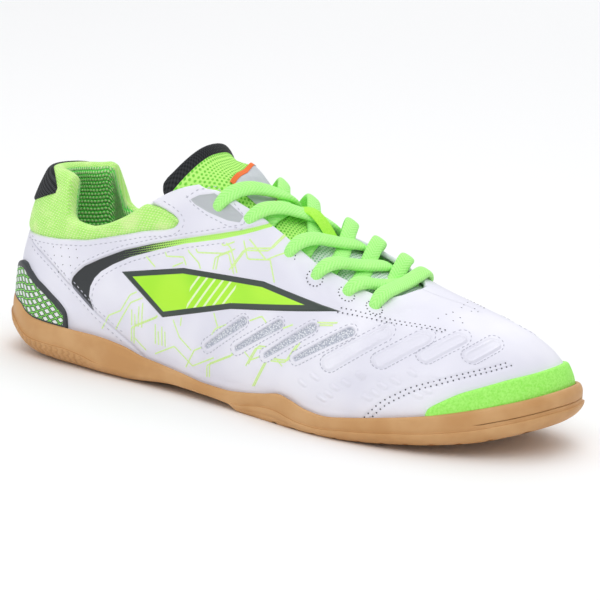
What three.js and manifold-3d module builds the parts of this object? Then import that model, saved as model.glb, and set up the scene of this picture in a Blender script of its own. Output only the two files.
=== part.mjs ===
// A turf shoe for the right foot, worn by nobody and standing flat on its gum sole.
// Millimetres. +X runs from heel to toe, +Y to the inner side of the foot, +Z up.
// The heel's back lies at x = 0 while the shoe is built; the group is centred at the end.
import * as THREE from 'three';
import { mergeVertices } from 'three/addons/utils/BufferGeometryUtils.js';
import Module from 'manifold-3d';

const wasm = await Module();
wasm.setup();

// Driving sizes of the last and the sole
const soleLength = 286; // plan of the sole without its flare
const ballWidth = 99;
const instepHeight = 88; // top of the last at 55 % of its length
const collarHeight = 88; // heel tab above the floor
const archLift = 5.5; // hollow under the waist
const toeSpring = 17; // lift of the sole under the toe's tip
const heelLift = 3.5; // rounding up of the sole behind the heel
const rimHeight = 19; // side of the sole beside the heel
const heelStack = 13; // rubber under the heel
const rimWidth = 3.4; // how far the upper sits inside the sole's outline
const soleBevel = 5.5; // how far the sole's bottom edge is drawn in
const heelFlare = 4; // how far the heel's rubber runs out behind
const sideStep = 0.9; // depth of the ledge round the sole
const treadDepth = 1.6;
const treadWidth = 2.2;
const treadPitch = 11;
const pivotRadius = 18;
const slitHeight = 0.8;
const slitDepth = 1.1;

// Driving sizes of the upper and of what is sewn on it
const wall = 2.2;
const gap = 0.3; // between two pieces that touch
const sideBulge = 2.2;
const heelCurl = 6; // how far the heel tab leans over the foot
const saddleThickness = 1.3;
const counterThickness = 1.7;
const counterHeight = 18.5; // above the sole's rim
const guardThickness = 1.9;
const guardHeight = 8.7; // above the sole's rim
const cuffPuff = 1.3; // how far the padded cuff stands proud of the last
const cuffPadding = 7; // how far it reaches into the shoe
const tabThickness = 0.9;
const plateLift = 0.8; // clearance of a flat piece over the tongue's facets
const insoleThickness = 3.6;
const tongueLength = 114;
const tongueWidth = 58;
const tonguePadding = 6;
const tongueDip = 4; // how far its middle sags between the eyelet rows
const tongueSweep = 9; // how far its free end's sides lean back
const tongueDroop = 12; // how far its free end's sides hang below its crest
const labelLength = 24;
const labelWidth = 24;
const labelThickness = 0.9;
const eyeletRadius = 2.2;
const laceWidth = 7.6;
const laceThickness = 3.8;
const laceLift = 2; // clearance of the lace over the last, more than the saddle's thickness
const laceDip = 3.2; // how far the middle of a pass sinks below the last's curve
const keeperLength = 28;
const keeperWidth = 9;
const keeperThickness = 1.6;

// How finely the curved forms are cut
const turns = 60; // stations round the shoe
const ridgeShare = 0.985; // the last rise that is not yet the ridge itself

// Plan of the sole: along is a share of soleLength, the sides are shares of ballWidth
const heelTipShare = 0;
const toeTipShare = 0.096;
const outlineRows = [
  { along: 0.03, lateral: 0.227, medial: 0.222 },
  { along: 0.12, lateral: 0.343, medial: 0.338 },
  { along: 0.3, lateral: 0.354, medial: 0.323 },
  { along: 0.42, lateral: 0.379, medial: 0.308 },
  { along: 0.55, lateral: 0.439, medial: 0.374 },
  { along: 0.66, lateral: 0.5, medial: 0.465 },
  { along: 0.74, lateral: 0.5, medial: 0.5 },
  { along: 0.85, lateral: 0.434, medial: 0.475 },
  { along: 0.94, lateral: 0.273, medial: 0.384 },
  { along: 0.985, lateral: 0.1, medial: 0.283 },
];

// Ridge of the last: height is a share of instepHeight, drift a share of ballWidth
const ridgeRows = [
  { along: 0, height: 1.66, drift: 0 },
  { along: 0.2, height: 1.66, drift: 0 },
  { along: 0.3, height: 1.55, drift: 0 },
  { along: 0.38, height: 1.32, drift: 0 },
  { along: 0.45, height: 1.15, drift: 0.005 },
  { along: 0.55, height: 1.0, drift: 0.02 },
  { along: 0.65, height: 0.84, drift: 0.045 },
  { along: 0.72, height: 0.735, drift: 0.065 },
  { along: 0.8, height: 0.65, drift: 0.09 },
  { along: 0.88, height: 0.588, drift: 0.1 },
  { along: 0.94, height: 0.55, drift: 0.1 },
  { along: 1, height: 0.5, drift: 0.1 },
];

// Section of the last: roundness is the power of its curve, lean is inward for each unit of rise,
// belly a share of sideBulge and curl a share of heelCurl
const sectionRows = [
  { along: 0, roundness: 2.6, lean: 0.1, belly: 0.7, curl: 1 },
  { along: 0.1, roundness: 2.6, lean: 0.09, belly: 0.7, curl: 0.9 },
  { along: 0.25, roundness: 2.45, lean: 0.08, belly: 0.7, curl: 0.1 },
  { along: 0.4, roundness: 2.15, lean: 0.03, belly: 0.9, curl: 0 },
  { along: 0.55, roundness: 2.1, lean: 0, belly: 1, curl: 0 },
  { along: 0.75, roundness: 2.2, lean: 0, belly: 1, curl: 0 },
  { along: 0.9, roundness: 2.3, lean: 0, belly: 0.9, curl: 0 },
  { along: 1, roundness: 2.3, lean: 0, belly: 0.7, curl: 0 },
];
const bellyStart = 6; // rise at which the side begins to swell
const bellyHeight = 42;
const curlStart = 45;
const curlRun = 30;
const heelPoleShare = 0.126; // the ridge's two ends, as shares of soleLength
const toePoleShare = 0.84;
const poleSoftness = 10;

// Sole: rim is a share of rimHeight, stack of heelStack, flare of heelFlare and bevel of soleBevel
const soleRows = [
  { along: 0, rim: 1.37, stack: 1.08, flare: 1, bevel: 1.4 },
  { along: 0.06, rim: 1.2, stack: 1.04, flare: 0.6, bevel: 1.4 },
  { along: 0.15, rim: 1, stack: 1, flare: 0.15, bevel: 1.3 },
  { along: 0.3, rim: 0.84, stack: 0.85, flare: 0, bevel: 1.1 },
  { along: 0.42, rim: 0.68, stack: 0.68, flare: 0, bevel: 1 },
  { along: 0.5, rim: 0.66, stack: 0.61, flare: 0, bevel: 1 },
  { along: 0.56, rim: 0.76, stack: 0.57, flare: 0, bevel: 0.9 },
  { along: 0.6, rim: 0.77, stack: 0.55, flare: 0, bevel: 0.9 },
  { along: 0.66, rim: 0.58, stack: 0.54, flare: 0, bevel: 0.8 },
  { along: 0.74, rim: 0.57, stack: 0.56, flare: 0, bevel: 0.8 },
  { along: 0.82, rim: 0.8, stack: 0.7, flare: 0, bevel: 0.9 },
  { along: 0.9, rim: 1.08, stack: 0.98, flare: 0.15, bevel: 1 },
  { along: 1, rim: 1.6, stack: 1.75, flare: 0.4, bevel: 1 },
];

// Underside of the sole, lifted off the floor
const liftRows = [
  { along: 0, lift: heelLift },
  { along: 0.035, lift: heelLift * 0.3 },
  { along: 0.09, lift: 0 },
  { along: 0.28, lift: 0 },
  { along: 0.42, lift: archLift },
  { along: 0.55, lift: archLift * 0.2 },
  { along: 0.63, lift: 0 },
  { along: 0.76, lift: 0 },
  { along: 0.86, lift: toeSpring * 0.26 },
  { along: 0.94, lift: toeSpring * 0.55 },
  { along: 1, lift: toeSpring },
];

// Side of the sole from its bottom edge to its rim: level is a share of the side's height,
// bevel a share of soleBevel and step a share of sideStep
const sideRows = [
  { level: 0, bevel: 1, step: 0, flare: 1 },
  { level: 0.1, bevel: 0.5, step: 0, flare: 1 },
  { level: 0.24, bevel: 0.16, step: 0, flare: 1 },
  { level: 0.36, bevel: 0, step: 0, flare: 1 },
  { level: 0.39, bevel: 0, step: 1, flare: 1 },
  { level: 0.8, bevel: 0, step: 0.6, flare: 0.7 },
  { level: 1, bevel: 0, step: 1.5, flare: 0.2 },
];

// Padded cuff: low is its sewn edge and top its rim, as shares of collarHeight;
// padding is a share of cuffPadding
const cuffRows = [
  { along: 0, low: 0.631, top: 1, padding: 1 },
  { along: 0.07, low: 0.636, top: 1, padding: 1 },
  { along: 0.105, low: 0.642, top: 0.99, padding: 1 },
  { along: 0.13, low: 0.648, top: 0.95, padding: 1 },
  { along: 0.148, low: 0.655, top: 0.87, padding: 1 },
  { along: 0.165, low: 0.662, top: 0.79, padding: 1 },
  { along: 0.187, low: 0.673, top: 0.762, padding: 1 },
  { along: 0.21, low: 0.693, top: 0.78, padding: 0.95 },
  { along: 0.245, low: 0.727, top: 0.83, padding: 0.85 },
  { along: 0.27, low: 0.75, top: 0.88, padding: 0.75 },
  { along: 0.3, low: 0.78, top: 0.93, padding: 0.6 },
  { along: 0.325, low: 0.805, top: 0.92, padding: 0.45 },
  { along: 0.35, low: 0.845, top: 0.885, padding: 0.3 },
];
const cuffFrontShare = 0.352; // where the cuff ends, as a share of soleLength
const cuffHeelShare = 0.631;

// White upper's top edge in front of the cuff: x as a share of soleLength, z of collarHeight
const brimRows = [
  { along: 0.3, height: 0.945 },
  { along: 0.315, height: 0.985 },
  { along: 0.34, height: 1.01 },
  { along: 0.37, height: 1.045 },
  { along: 0.395, height: 1.065 },
  { along: 0.42, height: 1.07 },
];

// Throat seen from above: along is a share of soleLength, the sides are shares of ballWidth
const throatRows = [
  { along: 0.38, lateral: 0.205, medial: 0.205 },
  { along: 0.43, lateral: 0.202, medial: 0.205 },
  { along: 0.47, lateral: 0.203, medial: 0.21 },
  { along: 0.55, lateral: 0.226, medial: 0.215 },
  { along: 0.61, lateral: 0.243, medial: 0.2 },
  { along: 0.66, lateral: 0.23, medial: 0.18 },
  { along: 0.7, lateral: 0.215, medial: 0.16 },
  { along: 0.725, lateral: 0.18, medial: 0.13 },
  { along: 0.741, lateral: 0.12, medial: 0.09 },
  { along: 0.749, lateral: 0.03, medial: 0.02 },
];

// Eyelet pairs: along is a share of soleLength, the sides are shares of ballWidth
const eyeletRows = [
  { along: 0.413, lateral: 0.234, medial: 0.236 },
  { along: 0.468, lateral: 0.237, medial: 0.242 },
  { along: 0.552, lateral: 0.265, medial: 0.26 },
  { along: 0.612, lateral: 0.285, medial: 0.255 },
  { along: 0.666, lateral: 0.275, medial: 0.238 },
  { along: 0.712, lateral: 0.265, medial: 0.215 },
];
const saddleEyelets = 2; // the pairs that also go through the saddle

// Saddle's lower edge from the heel to the throat: x of soleLength, z of collarHeight
const saddleRows = [
  { along: 0.07, height: 0.605 },
  { along: 0.133, height: 0.51 },
  { along: 0.175, height: 0.42 },
  { along: 0.17, height: 0.48 },
  { along: 0.19, height: 0.56 },
  { along: 0.225, height: 0.64 },
  { along: 0.27, height: 0.7 },
  { along: 0.34, height: 0.78 },
  { along: 0.41, height: 0.845 },
  { along: 0.47, height: 0.9 },
  { along: 0.53, height: 0.965 },
];

// Heel counter's top edge: along is a share of soleLength, over the rim of counterHeight
const counterRows = [
  { along: -0.05, over: 0.55 },
  { along: 0.01, over: 0.7 },
  { along: 0.05, over: 1 },
  { along: 0.085, over: 0.92 },
  { along: 0.122, over: 0.77 },
  { along: 0.152, over: 0.59 },
  { along: 0.168, over: 0.35 },
  { along: 0.163, over: -0.3 },
  { along: -0.05, over: -0.3 },
];

// Toe guard's top edge: along is a share of soleLength, over the rim of guardHeight
const guardRows = [
  { along: 0.852, over: -0.9 },
  { along: 0.852, over: 0.15 },
  { along: 0.865, over: 0.5 },
  { along: 0.905, over: 0.9 },
  { along: 0.955, over: 1 },
  { along: 1.03, over: 0.76 },
  { along: 1.03, over: -0.9 },
];

// Tongue from its front to its free end: along runs down tongueLength, width is a share of
// tongueWidth, padding of tonguePadding, dip of tongueDip and fall, under the last's ridge, of
// instepHeight; free is how far the section leaves the last's for an arch of its own
const tongueRows = [
  { along: 0, width: 0.62, padding: 0.5, fall: 0, dip: 0, free: 0 },
  { along: 0.2, width: 0.8, padding: 0.7, fall: 0, dip: 0.6, free: 0 },
  { along: 0.5, width: 0.94, padding: 0.85, fall: 0, dip: 1, free: 0 },
  { along: 0.65, width: 0.92, padding: 0.95, fall: 0, dip: 0.9, free: 0 },
  { along: 0.75, width: 0.86, padding: 1, fall: 0.006, dip: 0.6, free: 0 },
  { along: 0.84, width: 0.76, padding: 1, fall: 0.06, dip: 0.2, free: 0 },
  { along: 0.93, width: 0.64, padding: 1, fall: 0.12, dip: 0, free: 0.3 },
  { along: 1, width: 0.6, padding: 0.7, fall: 0.185, dip: 0, free: 0.75 },
];
const tongueFrontShare = 0.752; // station of its front end
const tongueSink = wall + 0.8; // how far it lies inside the last's surface

/** Natural cubic spline through (knots, values). */
function spline(knots, values) {
  const n = knots.length;
  const step = knots.slice(1).map((k, i) => k - knots[i]);
  const upper = new Array(n).fill(0);
  const bend = new Array(n).fill(0);
  for (let i = 1; i < n - 1; i += 1) {
    const rise = (values[i + 1] - values[i]) / step[i] - (values[i] - values[i - 1]) / step[i - 1];
    const pivot = 2 * (step[i - 1] + step[i]) - step[i - 1] * upper[i - 1];
    upper[i] = step[i] / pivot;
    bend[i] = (6 * rise - step[i - 1] * bend[i - 1]) / pivot;
  }
  for (let i = n - 2; i > 0; i -= 1) bend[i] -= upper[i] * bend[i + 1];
  return (at) => {
    const x = THREE.MathUtils.clamp(at, knots[0], knots[n - 1]);
    let i = 0;
    while (i < n - 2 && x > knots[i + 1]) i += 1;
    const a = (knots[i + 1] - x) / step[i];
    const b = 1 - a;
    const curve = ((a ** 3 - a) * bend[i] + (b ** 3 - b) * bend[i + 1]) * (step[i] ** 2) / 6;
    return a * values[i] + b * values[i + 1] + curve;
  };
}

/** Interpolation that never overshoots its rows, so that level stretches stay level. */
function steady(knots, values) {
  const n = knots.length;
  const slope = knots.slice(1).map((k, i) => (values[i + 1] - values[i]) / (k - knots[i]));
  const tangent = values.map((v, i) => {
    if (i === 0 || i === n - 1 || slope[i - 1] * slope[i] <= 0) return 0;
    return 2 / (1 / slope[i - 1] + 1 / slope[i]);
  });
  tangent[n - 1] = slope[n - 2];
  return (at) => {
    const x = THREE.MathUtils.clamp(at, knots[0], knots[n - 1]);
    let i = 0;
    while (i < n - 2 && x > knots[i + 1]) i += 1;
    const h = knots[i + 1] - knots[i];
    const t = (x - knots[i]) / h;
    return (1 + 2 * t) * (1 - t) ** 2 * values[i] + t * (1 - t) ** 2 * h * tangent[i]
      + t * t * (3 - 2 * t) * values[i + 1] + t * t * (t - 1) * h * tangent[i + 1];
  };
}

const column = (rows, name) => rows.map((row) => row[name]);
const along = (rows, name, fit = spline) => fit(column(rows, 'along'), column(rows, name));

/** Turn round the shoe, 0 at the heel and a half at the toe, that reaches a station by the lateral side. */
const turnOf = (station) => Math.acos(1 - 2 * station) / (2 * Math.PI);

/** The sole's plan outline as a periodic curve; the knots are repeated past both ends. */
function outlineCurve() {
  const lateral = outlineRows.map((r) => [turnOf(r.along), -r.lateral]);
  const medial = outlineRows.map((r) => [1 - turnOf(r.along), r.medial]).reverse();
  const once = [[0, heelTipShare], ...lateral, [0.5, toeTipShare], ...medial];
  const knots = [-1, 0, 1].flatMap((cycle) => once.map(([turn, side]) => [turn + cycle, side]));
  return spline(knots.map((k) => k[0]), knots.map((k) => k[1]));
}

const sideAt = outlineCurve();
const ridgeHeight = along(ridgeRows, 'height');
const ridgeDrift = along(ridgeRows, 'drift');
const roundness = along(sectionRows, 'roundness');
const lean = along(sectionRows, 'lean');
const belly = along(sectionRows, 'belly');
const curl = along(sectionRows, 'curl');
const rimShare = along(soleRows, 'rim', steady);
const stackShare = along(soleRows, 'stack', steady);
const flareShare = along(soleRows, 'flare', steady);
const bevelShare = along(soleRows, 'bevel', steady);
const liftAt = along(liftRows, 'lift', steady);
const cuffLow = along(cuffRows, 'low', steady);
const cuffTop = along(cuffRows, 'top', steady);
const cuffPad = along(cuffRows, 'padding', steady);

const rimAt = (station) => rimShare(station) * rimHeight;
const floorAt = (station) => stackShare(station) * heelStack;

/** Point of the plan outline, drawn in by inset. */
function planPoint(turn, inset = 0) {
  const place = (u) => [soleLength / 2 * (1 - Math.cos(2 * Math.PI * u)), sideAt(u) * ballWidth];
  const nudge = 1e-4;
  const [x, y] = place(turn);
  const [x0, y0] = place(turn - nudge);
  const [x1, y1] = place(turn + nudge);
  const run = Math.hypot(x1 - x0, y1 - y0);
  return [x - (y1 - y0) / run * inset, y + (x1 - x0) / run * inset];
}

const wrap = (turn) => ((turn % 1) + 1) % 1;

/** Holds x between two ends, with soft corners. */
function softClamp(x, low, high) {
  const larger = (a, b) => 0.5 * (a + b + Math.hypot(a - b, poleSoftness));
  return -larger(-larger(x, low), -high);
}

/**
 * The last's own surface. A rib climbs from the feather edge (rise 0) to the ridge (rise 1) as a
 * quarter of a superellipse, swells beside the foot and leans in round the heel.
 */
function lastPoint(turn, rise) {
  const [footX, footY] = planPoint(wrap(turn), rimWidth);
  const station = THREE.MathUtils.clamp(footX / soleLength, 0, 1);
  const topX = softClamp(footX, heelPoleShare * soleLength, toePoleShare * soleLength);
  const topY = ridgeDrift(topX / soleLength) * ballWidth;
  const power = 2 / roundness(station);
  const inward = 1 - Math.cos(rise * Math.PI / 2) ** power;
  const upward = Math.sin(rise * Math.PI / 2) ** power;
  const acrossX = topX - footX;
  const acrossY = topY - footY;
  const across = Math.hypot(acrossX, acrossY);
  const foot = floorAt(station);
  const x = footX + acrossX * inward;
  const top = ridgeHeight(THREE.MathUtils.clamp(x / soleLength, 0, 1)) * instepHeight;
  const climb = upward * (top - foot);
  const swell = Math.sin(Math.PI * THREE.MathUtils.clamp((climb - bellyStart) / bellyHeight, 0, 1));
  const bend = Math.max(0, (climb - curlStart) / curlRun) ** 2;
  const shift = (lean(station) * climb - belly(station) * sideBulge * swell
    + curl(station) * heelCurl * Math.min(bend, 1.5)) * (1 - inward);
  return new THREE.Vector3(
    x + acrossX / across * shift,
    footY + acrossY * inward + acrossY / across * shift,
    foot + climb,
  );
}

/** The last's surface moved outwards by offset, along its own normal. */
function shellPoint(turn, rise, offset = 0) {
  const p = lastPoint(turn, rise);
  if (offset === 0) return p;
  const nudge = 0.002;
  const round = lastPoint(turn + nudge, rise).sub(lastPoint(turn - nudge, rise));
  const low = Math.max(0, rise - nudge);
  const up = lastPoint(turn, rise + nudge).sub(lastPoint(turn, low));
  const normal = round.cross(up).normalize();
  return p.addScaledVector(normal, offset);
}

/** Rise at which a rib reaches the height z. */
function riseAt(turn, z) {
  let low = 0;
  let high = 1;
  for (let i = 0; i < 24; i += 1) {
    const mid = (low + high) / 2;
    if (lastPoint(turn, mid).z < z) low = mid;
    else high = mid;
  }
  return (low + high) / 2;
}

/** Turn, on one side of the shoe, whose rib stands at the station. */
function turnAt(station, side) {
  const u = turnOf(station);
  return side < 0 ? u : 1 - u;
}

/** Rise at which a rib's point lies y across the shoe, found from its widest place inwards. */
function riseAcross(turn, y) {
  const side = turn < 0.5 ? -1 : 1;
  let low = 0.05;
  let high = 1;
  for (let i = 0; i < 24; i += 1) {
    const mid = (low + high) / 2;
    if (lastPoint(turn, mid).y * side > y * side) low = mid;
    else high = mid;
  }
  return (low + high) / 2;
}

/** Closed mesh from a list of points and triangles. */
function closedMesh(points, triangles) {
  const geometry = new THREE.BufferGeometry();
  const flat = points.flatMap((p) => [p.x, p.y, p.z]);
  geometry.setAttribute('position', new THREE.Float32BufferAttribute(flat, 3));
  geometry.setIndex(triangles);
  return geometry;
}

/** Turns a closed geometry into a solid that can be cut and joined. */
function solid(geometry) {
  const bare = geometry.clone();
  bare.deleteAttribute('normal');
  bare.deleteAttribute('uv');
  const merged = mergeVertices(bare, 1e-4);
  const made = new wasm.Manifold(new wasm.Mesh({
    numProp: 3,
    vertProperties: new Float32Array(merged.attributes.position.array),
    triVerts: new Uint32Array(merged.index.array),
  }));
  return made;
}

/** A solid's surface as a geometry to show. */
function shown(made) {
  const mesh = made.getMesh();
  const geometry = new THREE.BufferGeometry();
  geometry.setAttribute('position', new THREE.Float32BufferAttribute(mesh.vertProperties, 3));
  geometry.setIndex(Array.from(mesh.triVerts));
  geometry.computeVertexNormals();
  return geometry;
}

/**
 * Solid through stacked rings that all have the same, even number of points. Both end rings are
 * closed by rungs that join the points lying opposite each other.
 */
function stacked(rings) {
  const n = rings[0].length;
  const points = rings.flat();
  const triangles = [];
  for (let r = 0; r < rings.length - 1; r += 1) {
    for (let i = 0; i < n; i += 1) {
      const j = (i + 1) % n;
      const a = r * n + i;
      const b = r * n + j;
      triangles.push(a, b, b + n, a, b + n, a + n);
    }
  }
  const top = (rings.length - 1) * n;
  const rung = (base, flip) => {
    for (let i = 0; i < n / 2; i += 1) {
      const a = i;
      const b = i + 1;
      const c = (n - i - 1) % n;
      const d = (n - i) % n;
      const faces = [];
      if (b !== c) faces.push([a, b, c]);
      if (a !== d) faces.push([a, c, d]);
      for (const [p, q, s] of faces) {
        if (flip) triangles.push(base + p, base + s, base + q);
        else triangles.push(base + p, base + q, base + s);
      }
    }
  };
  rung(0, true);
  rung(top, false);
  return solid(closedMesh(points, triangles));
}

/** Solid swept through closed sections, each a ring of points; each end is closed by a fan, or by
 *  a ladder between the section's outer points and its inner ones. */
function swept(sections, ladder = false) {
  const n = sections[0].length;
  const points = sections.flat();
  const triangles = [];
  for (let r = 0; r < sections.length - 1; r += 1) {
    for (let i = 0; i < n; i += 1) {
      const j = (i + 1) % n;
      const a = r * n + i;
      const b = r * n + j;
      triangles.push(a, b, b + n, a, b + n, a + n);
    }
  }
  const rungs = (base, flip) => {
    for (let i = 0; i < n / 2 - 1; i += 1) {
      const corners = [i, i + 1, n - 2 - i, n - 1 - i].map((k) => base + k);
      const [a, b, c, d] = flip ? corners.reverse() : corners;
      triangles.push(a, b, c, a, c, d);
    }
  };
  const close = (ring, base, flip) => {
    if (ladder) {
      rungs(base, flip);
      return;
    }
    const centre = ring.reduce((sum, p) => sum.add(p), new THREE.Vector3()).divideScalar(n);
    const hub = points.push(centre) - 1;
    for (let i = 0; i < n; i += 1) {
      const j = (i + 1) % n;
      if (flip) triangles.push(hub, base + j, base + i);
      else triangles.push(hub, base + i, base + j);
    }
  };
  close(sections[0], 0, true);
  close(sections[sections.length - 1], (sections.length - 1) * n, false);
  const geometry = closedMesh(points, triangles);
  const made = solid(geometry);
  if (made.volume() > 0) return made;
  geometry.setIndex(geometry.index.array.length ? Array.from(geometry.index.array).reverse() : []);
  return solid(geometry);
}

const ringTurns = Array.from({ length: turns }, (_, i) => i / turns);

/** The whole last, grown by offset, with its foot lowered by drop. */
function lastSolid(offset, drop = 0) {
  const rises = [0, 0.04, 0.1, 0.18, 0.28, 0.4, 0.54, 0.7, 0.86, ridgeShare];
  const rings = rises.map((rise) => ringTurns.map((turn) => shellPoint(turn, rise, offset)));
  const foot = rings[0].map((p) => new THREE.Vector3(p.x, p.y, p.z - Math.max(drop, 0.01)));
  return stacked([foot, ...rings]);
}

/** Prism over an outline drawn in the side view, across the whole shoe or one side of it. */
function sidePrism(corners, side = 0) {
  const reach = ballWidth;
  const shape = new THREE.Shape(corners.map(([x, z]) => new THREE.Vector2(x, z)));
  const depth = side === 0 ? 2 * reach : reach;
  const geometry = new THREE.ExtrudeGeometry(shape, { depth, bevelEnabled: false });
  geometry.rotateX(Math.PI / 2);
  geometry.translate(0, side < 0 ? 0 : reach, 0);
  return solid(geometry);
}

/** Prism over an outline drawn in the plan, from low to high. */
function planPrism(corners, low, high) {
  const shape = new THREE.Shape(corners.map(([x, y]) => new THREE.Vector2(x, y)));
  const geometry = new THREE.ExtrudeGeometry(shape, { depth: high - low, bevelEnabled: false });
  geometry.translate(0, 0, low);
  return solid(geometry);
}

const sideView = (rows) => rows.map((r) => [r.along * soleLength, r.height * collarHeight]);
const overRim = (rows, height) => rows.map((r) => [
  r.along * soleLength, rimAt(THREE.MathUtils.clamp(r.along, 0, 1)) + r.over * height,
]);

/** Space above the sole's rim, so that what is sewn on the upper ends there. */
function aboveRim() {
  const spread = 8;
  const ring = (z) => ringTurns.map((turn) => {
    const [x, y] = planPoint(turn, -spread);
    return new THREE.Vector3(x, y, z(x / soleLength));
  });
  return stacked([ring((s) => rimAt(s) + gap), ring(() => 3 * collarHeight)]);
}

/** Everything that lies over the collar's sewn edge or in the throat, grown by margin. */
function opening(margin) {
  const high = 3 * collarHeight;
  const seam = [];
  for (let share = 0; share <= cuffFrontShare; share += 0.02) {
    seam.push([share * soleLength, cuffLow(share) * collarHeight - margin]);
  }
  const tip = [cuffFrontShare * soleLength + margin, cuffTop(cuffFrontShare) * collarHeight - 2];
  const back = [0.34, 0.322, 0.305].map(
    (share) => [share * soleLength, cuffTop(share) * collarHeight + margin],
  );
  const collar = [
    [-soleLength / 4, high], [-soleLength / 4, cuffHeelShare * collarHeight - margin],
    ...seam, tip, ...back, ...sideView(brimRows), [brimRows.at(-1).along * soleLength, high],
  ];
  const lateral = throatRows.map((r) => [r.along * soleLength, -r.lateral * ballWidth]);
  const medial = throatRows.map((r) => [r.along * soleLength, r.medial * ballWidth]).reverse();
  const throat = planPrism([...lateral, ...medial], collarHeight * 0.4, high);
  return sidePrism(collar).add(throat);
}

/** Place of one eyelet on the upper: the rib it stands on and how far up. */
function eyeletPlace(row, side) {
  const turn = turnAt(row.along, side);
  const reach = (side < 0 ? -row.lateral : row.medial) * ballWidth;
  return { turn, rise: riseAcross(turn, reach) };
}

/** Pins square to the upper that cut the first eyelet pairs. */
function eyeletPins(radius, count) {
  const length = 14;
  const pins = [];
  for (const side of [-1, 1]) {
    for (const row of eyeletRows.slice(0, count)) {
      const { turn, rise } = eyeletPlace(row, side);
      const p = shellPoint(turn, rise);
      const normal = shellPoint(turn, rise, 1).sub(p);
      const pin = new THREE.CylinderGeometry(radius, radius, length, 10);
      const level = new THREE.Vector3(0, 1, 0);
      pin.applyQuaternion(new THREE.Quaternion().setFromUnitVectors(level, normal.normalize()));
      pin.translate(p.x, p.y, p.z);
      pins.push(solid(pin));
    }
  }
  return wasm.Manifold.union(pins);
}

/** Piece of a sheet that lies on the upper between two offsets, inside a region over the sole. */
function overlay(thickness, region) {
  const outer = lastSolid(gap + thickness);
  const inner = lastSolid(gap, 2 * heelStack);
  return outer.subtract(inner).intersect(region).subtract(soleBlock(gap));
}

/** The sole's outer form, a stack of outlines, grown by margin at its side and rim. */
function soleBlock(margin = 0) {
  const ring = ({ level, bevel, step, flare }) => ringTurns.map((turn) => {
    const [edge] = planPoint(turn);
    const station = THREE.MathUtils.clamp(edge / soleLength, 0, 1);
    const inset = bevel * soleBevel * bevelShare(station) + step * sideStep
      - flare * flareShare(station) * heelFlare - margin;
    const [x, y] = planPoint(turn, inset);
    const low = liftAt(THREE.MathUtils.clamp(x / soleLength, 0, 1));
    return new THREE.Vector3(x, y, low + level * (rimAt(station) + margin - low));
  });
  return stacked(sideRows.map(ring));
}

/** Gum cup sole, hollowed by the last and cut by the tread and the toe's slit. */
function buildOutsole() {
  let sole = soleBlock().subtract(lastSolid(gap, gap));
  const cuts = [];
  const firstGroove = 0.05;
  const lastGroove = 0.93;
  for (let x = firstGroove * soleLength; x < lastGroove * soleLength; x += treadPitch) {
    const station = x / soleLength;
    const waist = station > 0.3 && station < 0.52;
    if (!waist) {
      const top = liftAt(station) + treadDepth;
      const height = top + heelStack;
      const groove = new THREE.BoxGeometry(treadWidth, 2 * ballWidth, height);
      groove.translate(x, 0, top - height / 2);
      cuts.push(solid(groove));
    }
  }
  const half = treadWidth / 2;
  const pivot = new THREE.LatheGeometry([
    new THREE.Vector2(pivotRadius - half, -heelStack), new THREE.Vector2(pivotRadius + half, -heelStack),
    new THREE.Vector2(pivotRadius + half, treadDepth), new THREE.Vector2(pivotRadius - half, treadDepth),
    new THREE.Vector2(pivotRadius - half, -heelStack),
  ], 28);
  pivot.rotateX(Math.PI / 2);
  pivot.translate(0.7 * soleLength, 0, 0);
  cuts.push(solid(pivot));
  sole = sole.subtract(wasm.Manifold.union(cuts));
  return sole.subtract(toeSlit());
}

/** Thin band that the slit round the toe's side takes out of the sole. */
function toeSlit() {
  const slitLevel = 0.52;
  const first = turnOf(0.86);
  const count = 25;
  const sections = [];
  for (let i = 0; i < count; i += 1) {
    const turn = first + (1 - 2 * first) * i / (count - 1);
    const [edge] = planPoint(turn);
    const station = THREE.MathUtils.clamp(edge / soleLength, 0, 1);
    const low = liftAt(station);
    const z = low + slitLevel * (rimAt(station) - low);
    const [xo, yo] = planPoint(turn, -slitDepth);
    const [xi, yi] = planPoint(turn, sideStep + slitDepth);
    const half = slitHeight / 2;
    sections.push([
      new THREE.Vector3(xo, yo, z - half), new THREE.Vector3(xo, yo, z + half),
      new THREE.Vector3(xi, yi, z + half), new THREE.Vector3(xi, yi, z - half),
    ]);
  }
  return swept(sections);
}

/** Foam footbed that lies in the upper on the sole's floor. */
function buildInsole() {
  const inset = rimWidth + wall + 2 * gap;
  const ring = (rise) => ringTurns.map((turn) => {
    const [x, y] = planPoint(turn, inset);
    return new THREE.Vector3(x, y, floorAt(THREE.MathUtils.clamp(x / soleLength, 0, 1)) + rise);
  });
  return stacked([ring(gap), ring(gap + insoleThickness)]);
}

/** White shell of the upper: the last, hollowed by its wall, open underneath and at the top. */
function buildUpper() {
  return lastSolid(0)
    .subtract(lastSolid(-wall, 2 * heelStack))
    .subtract(opening(gap))
    .subtract(eyeletPins(eyeletRadius, eyeletRows.length));
}

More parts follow.
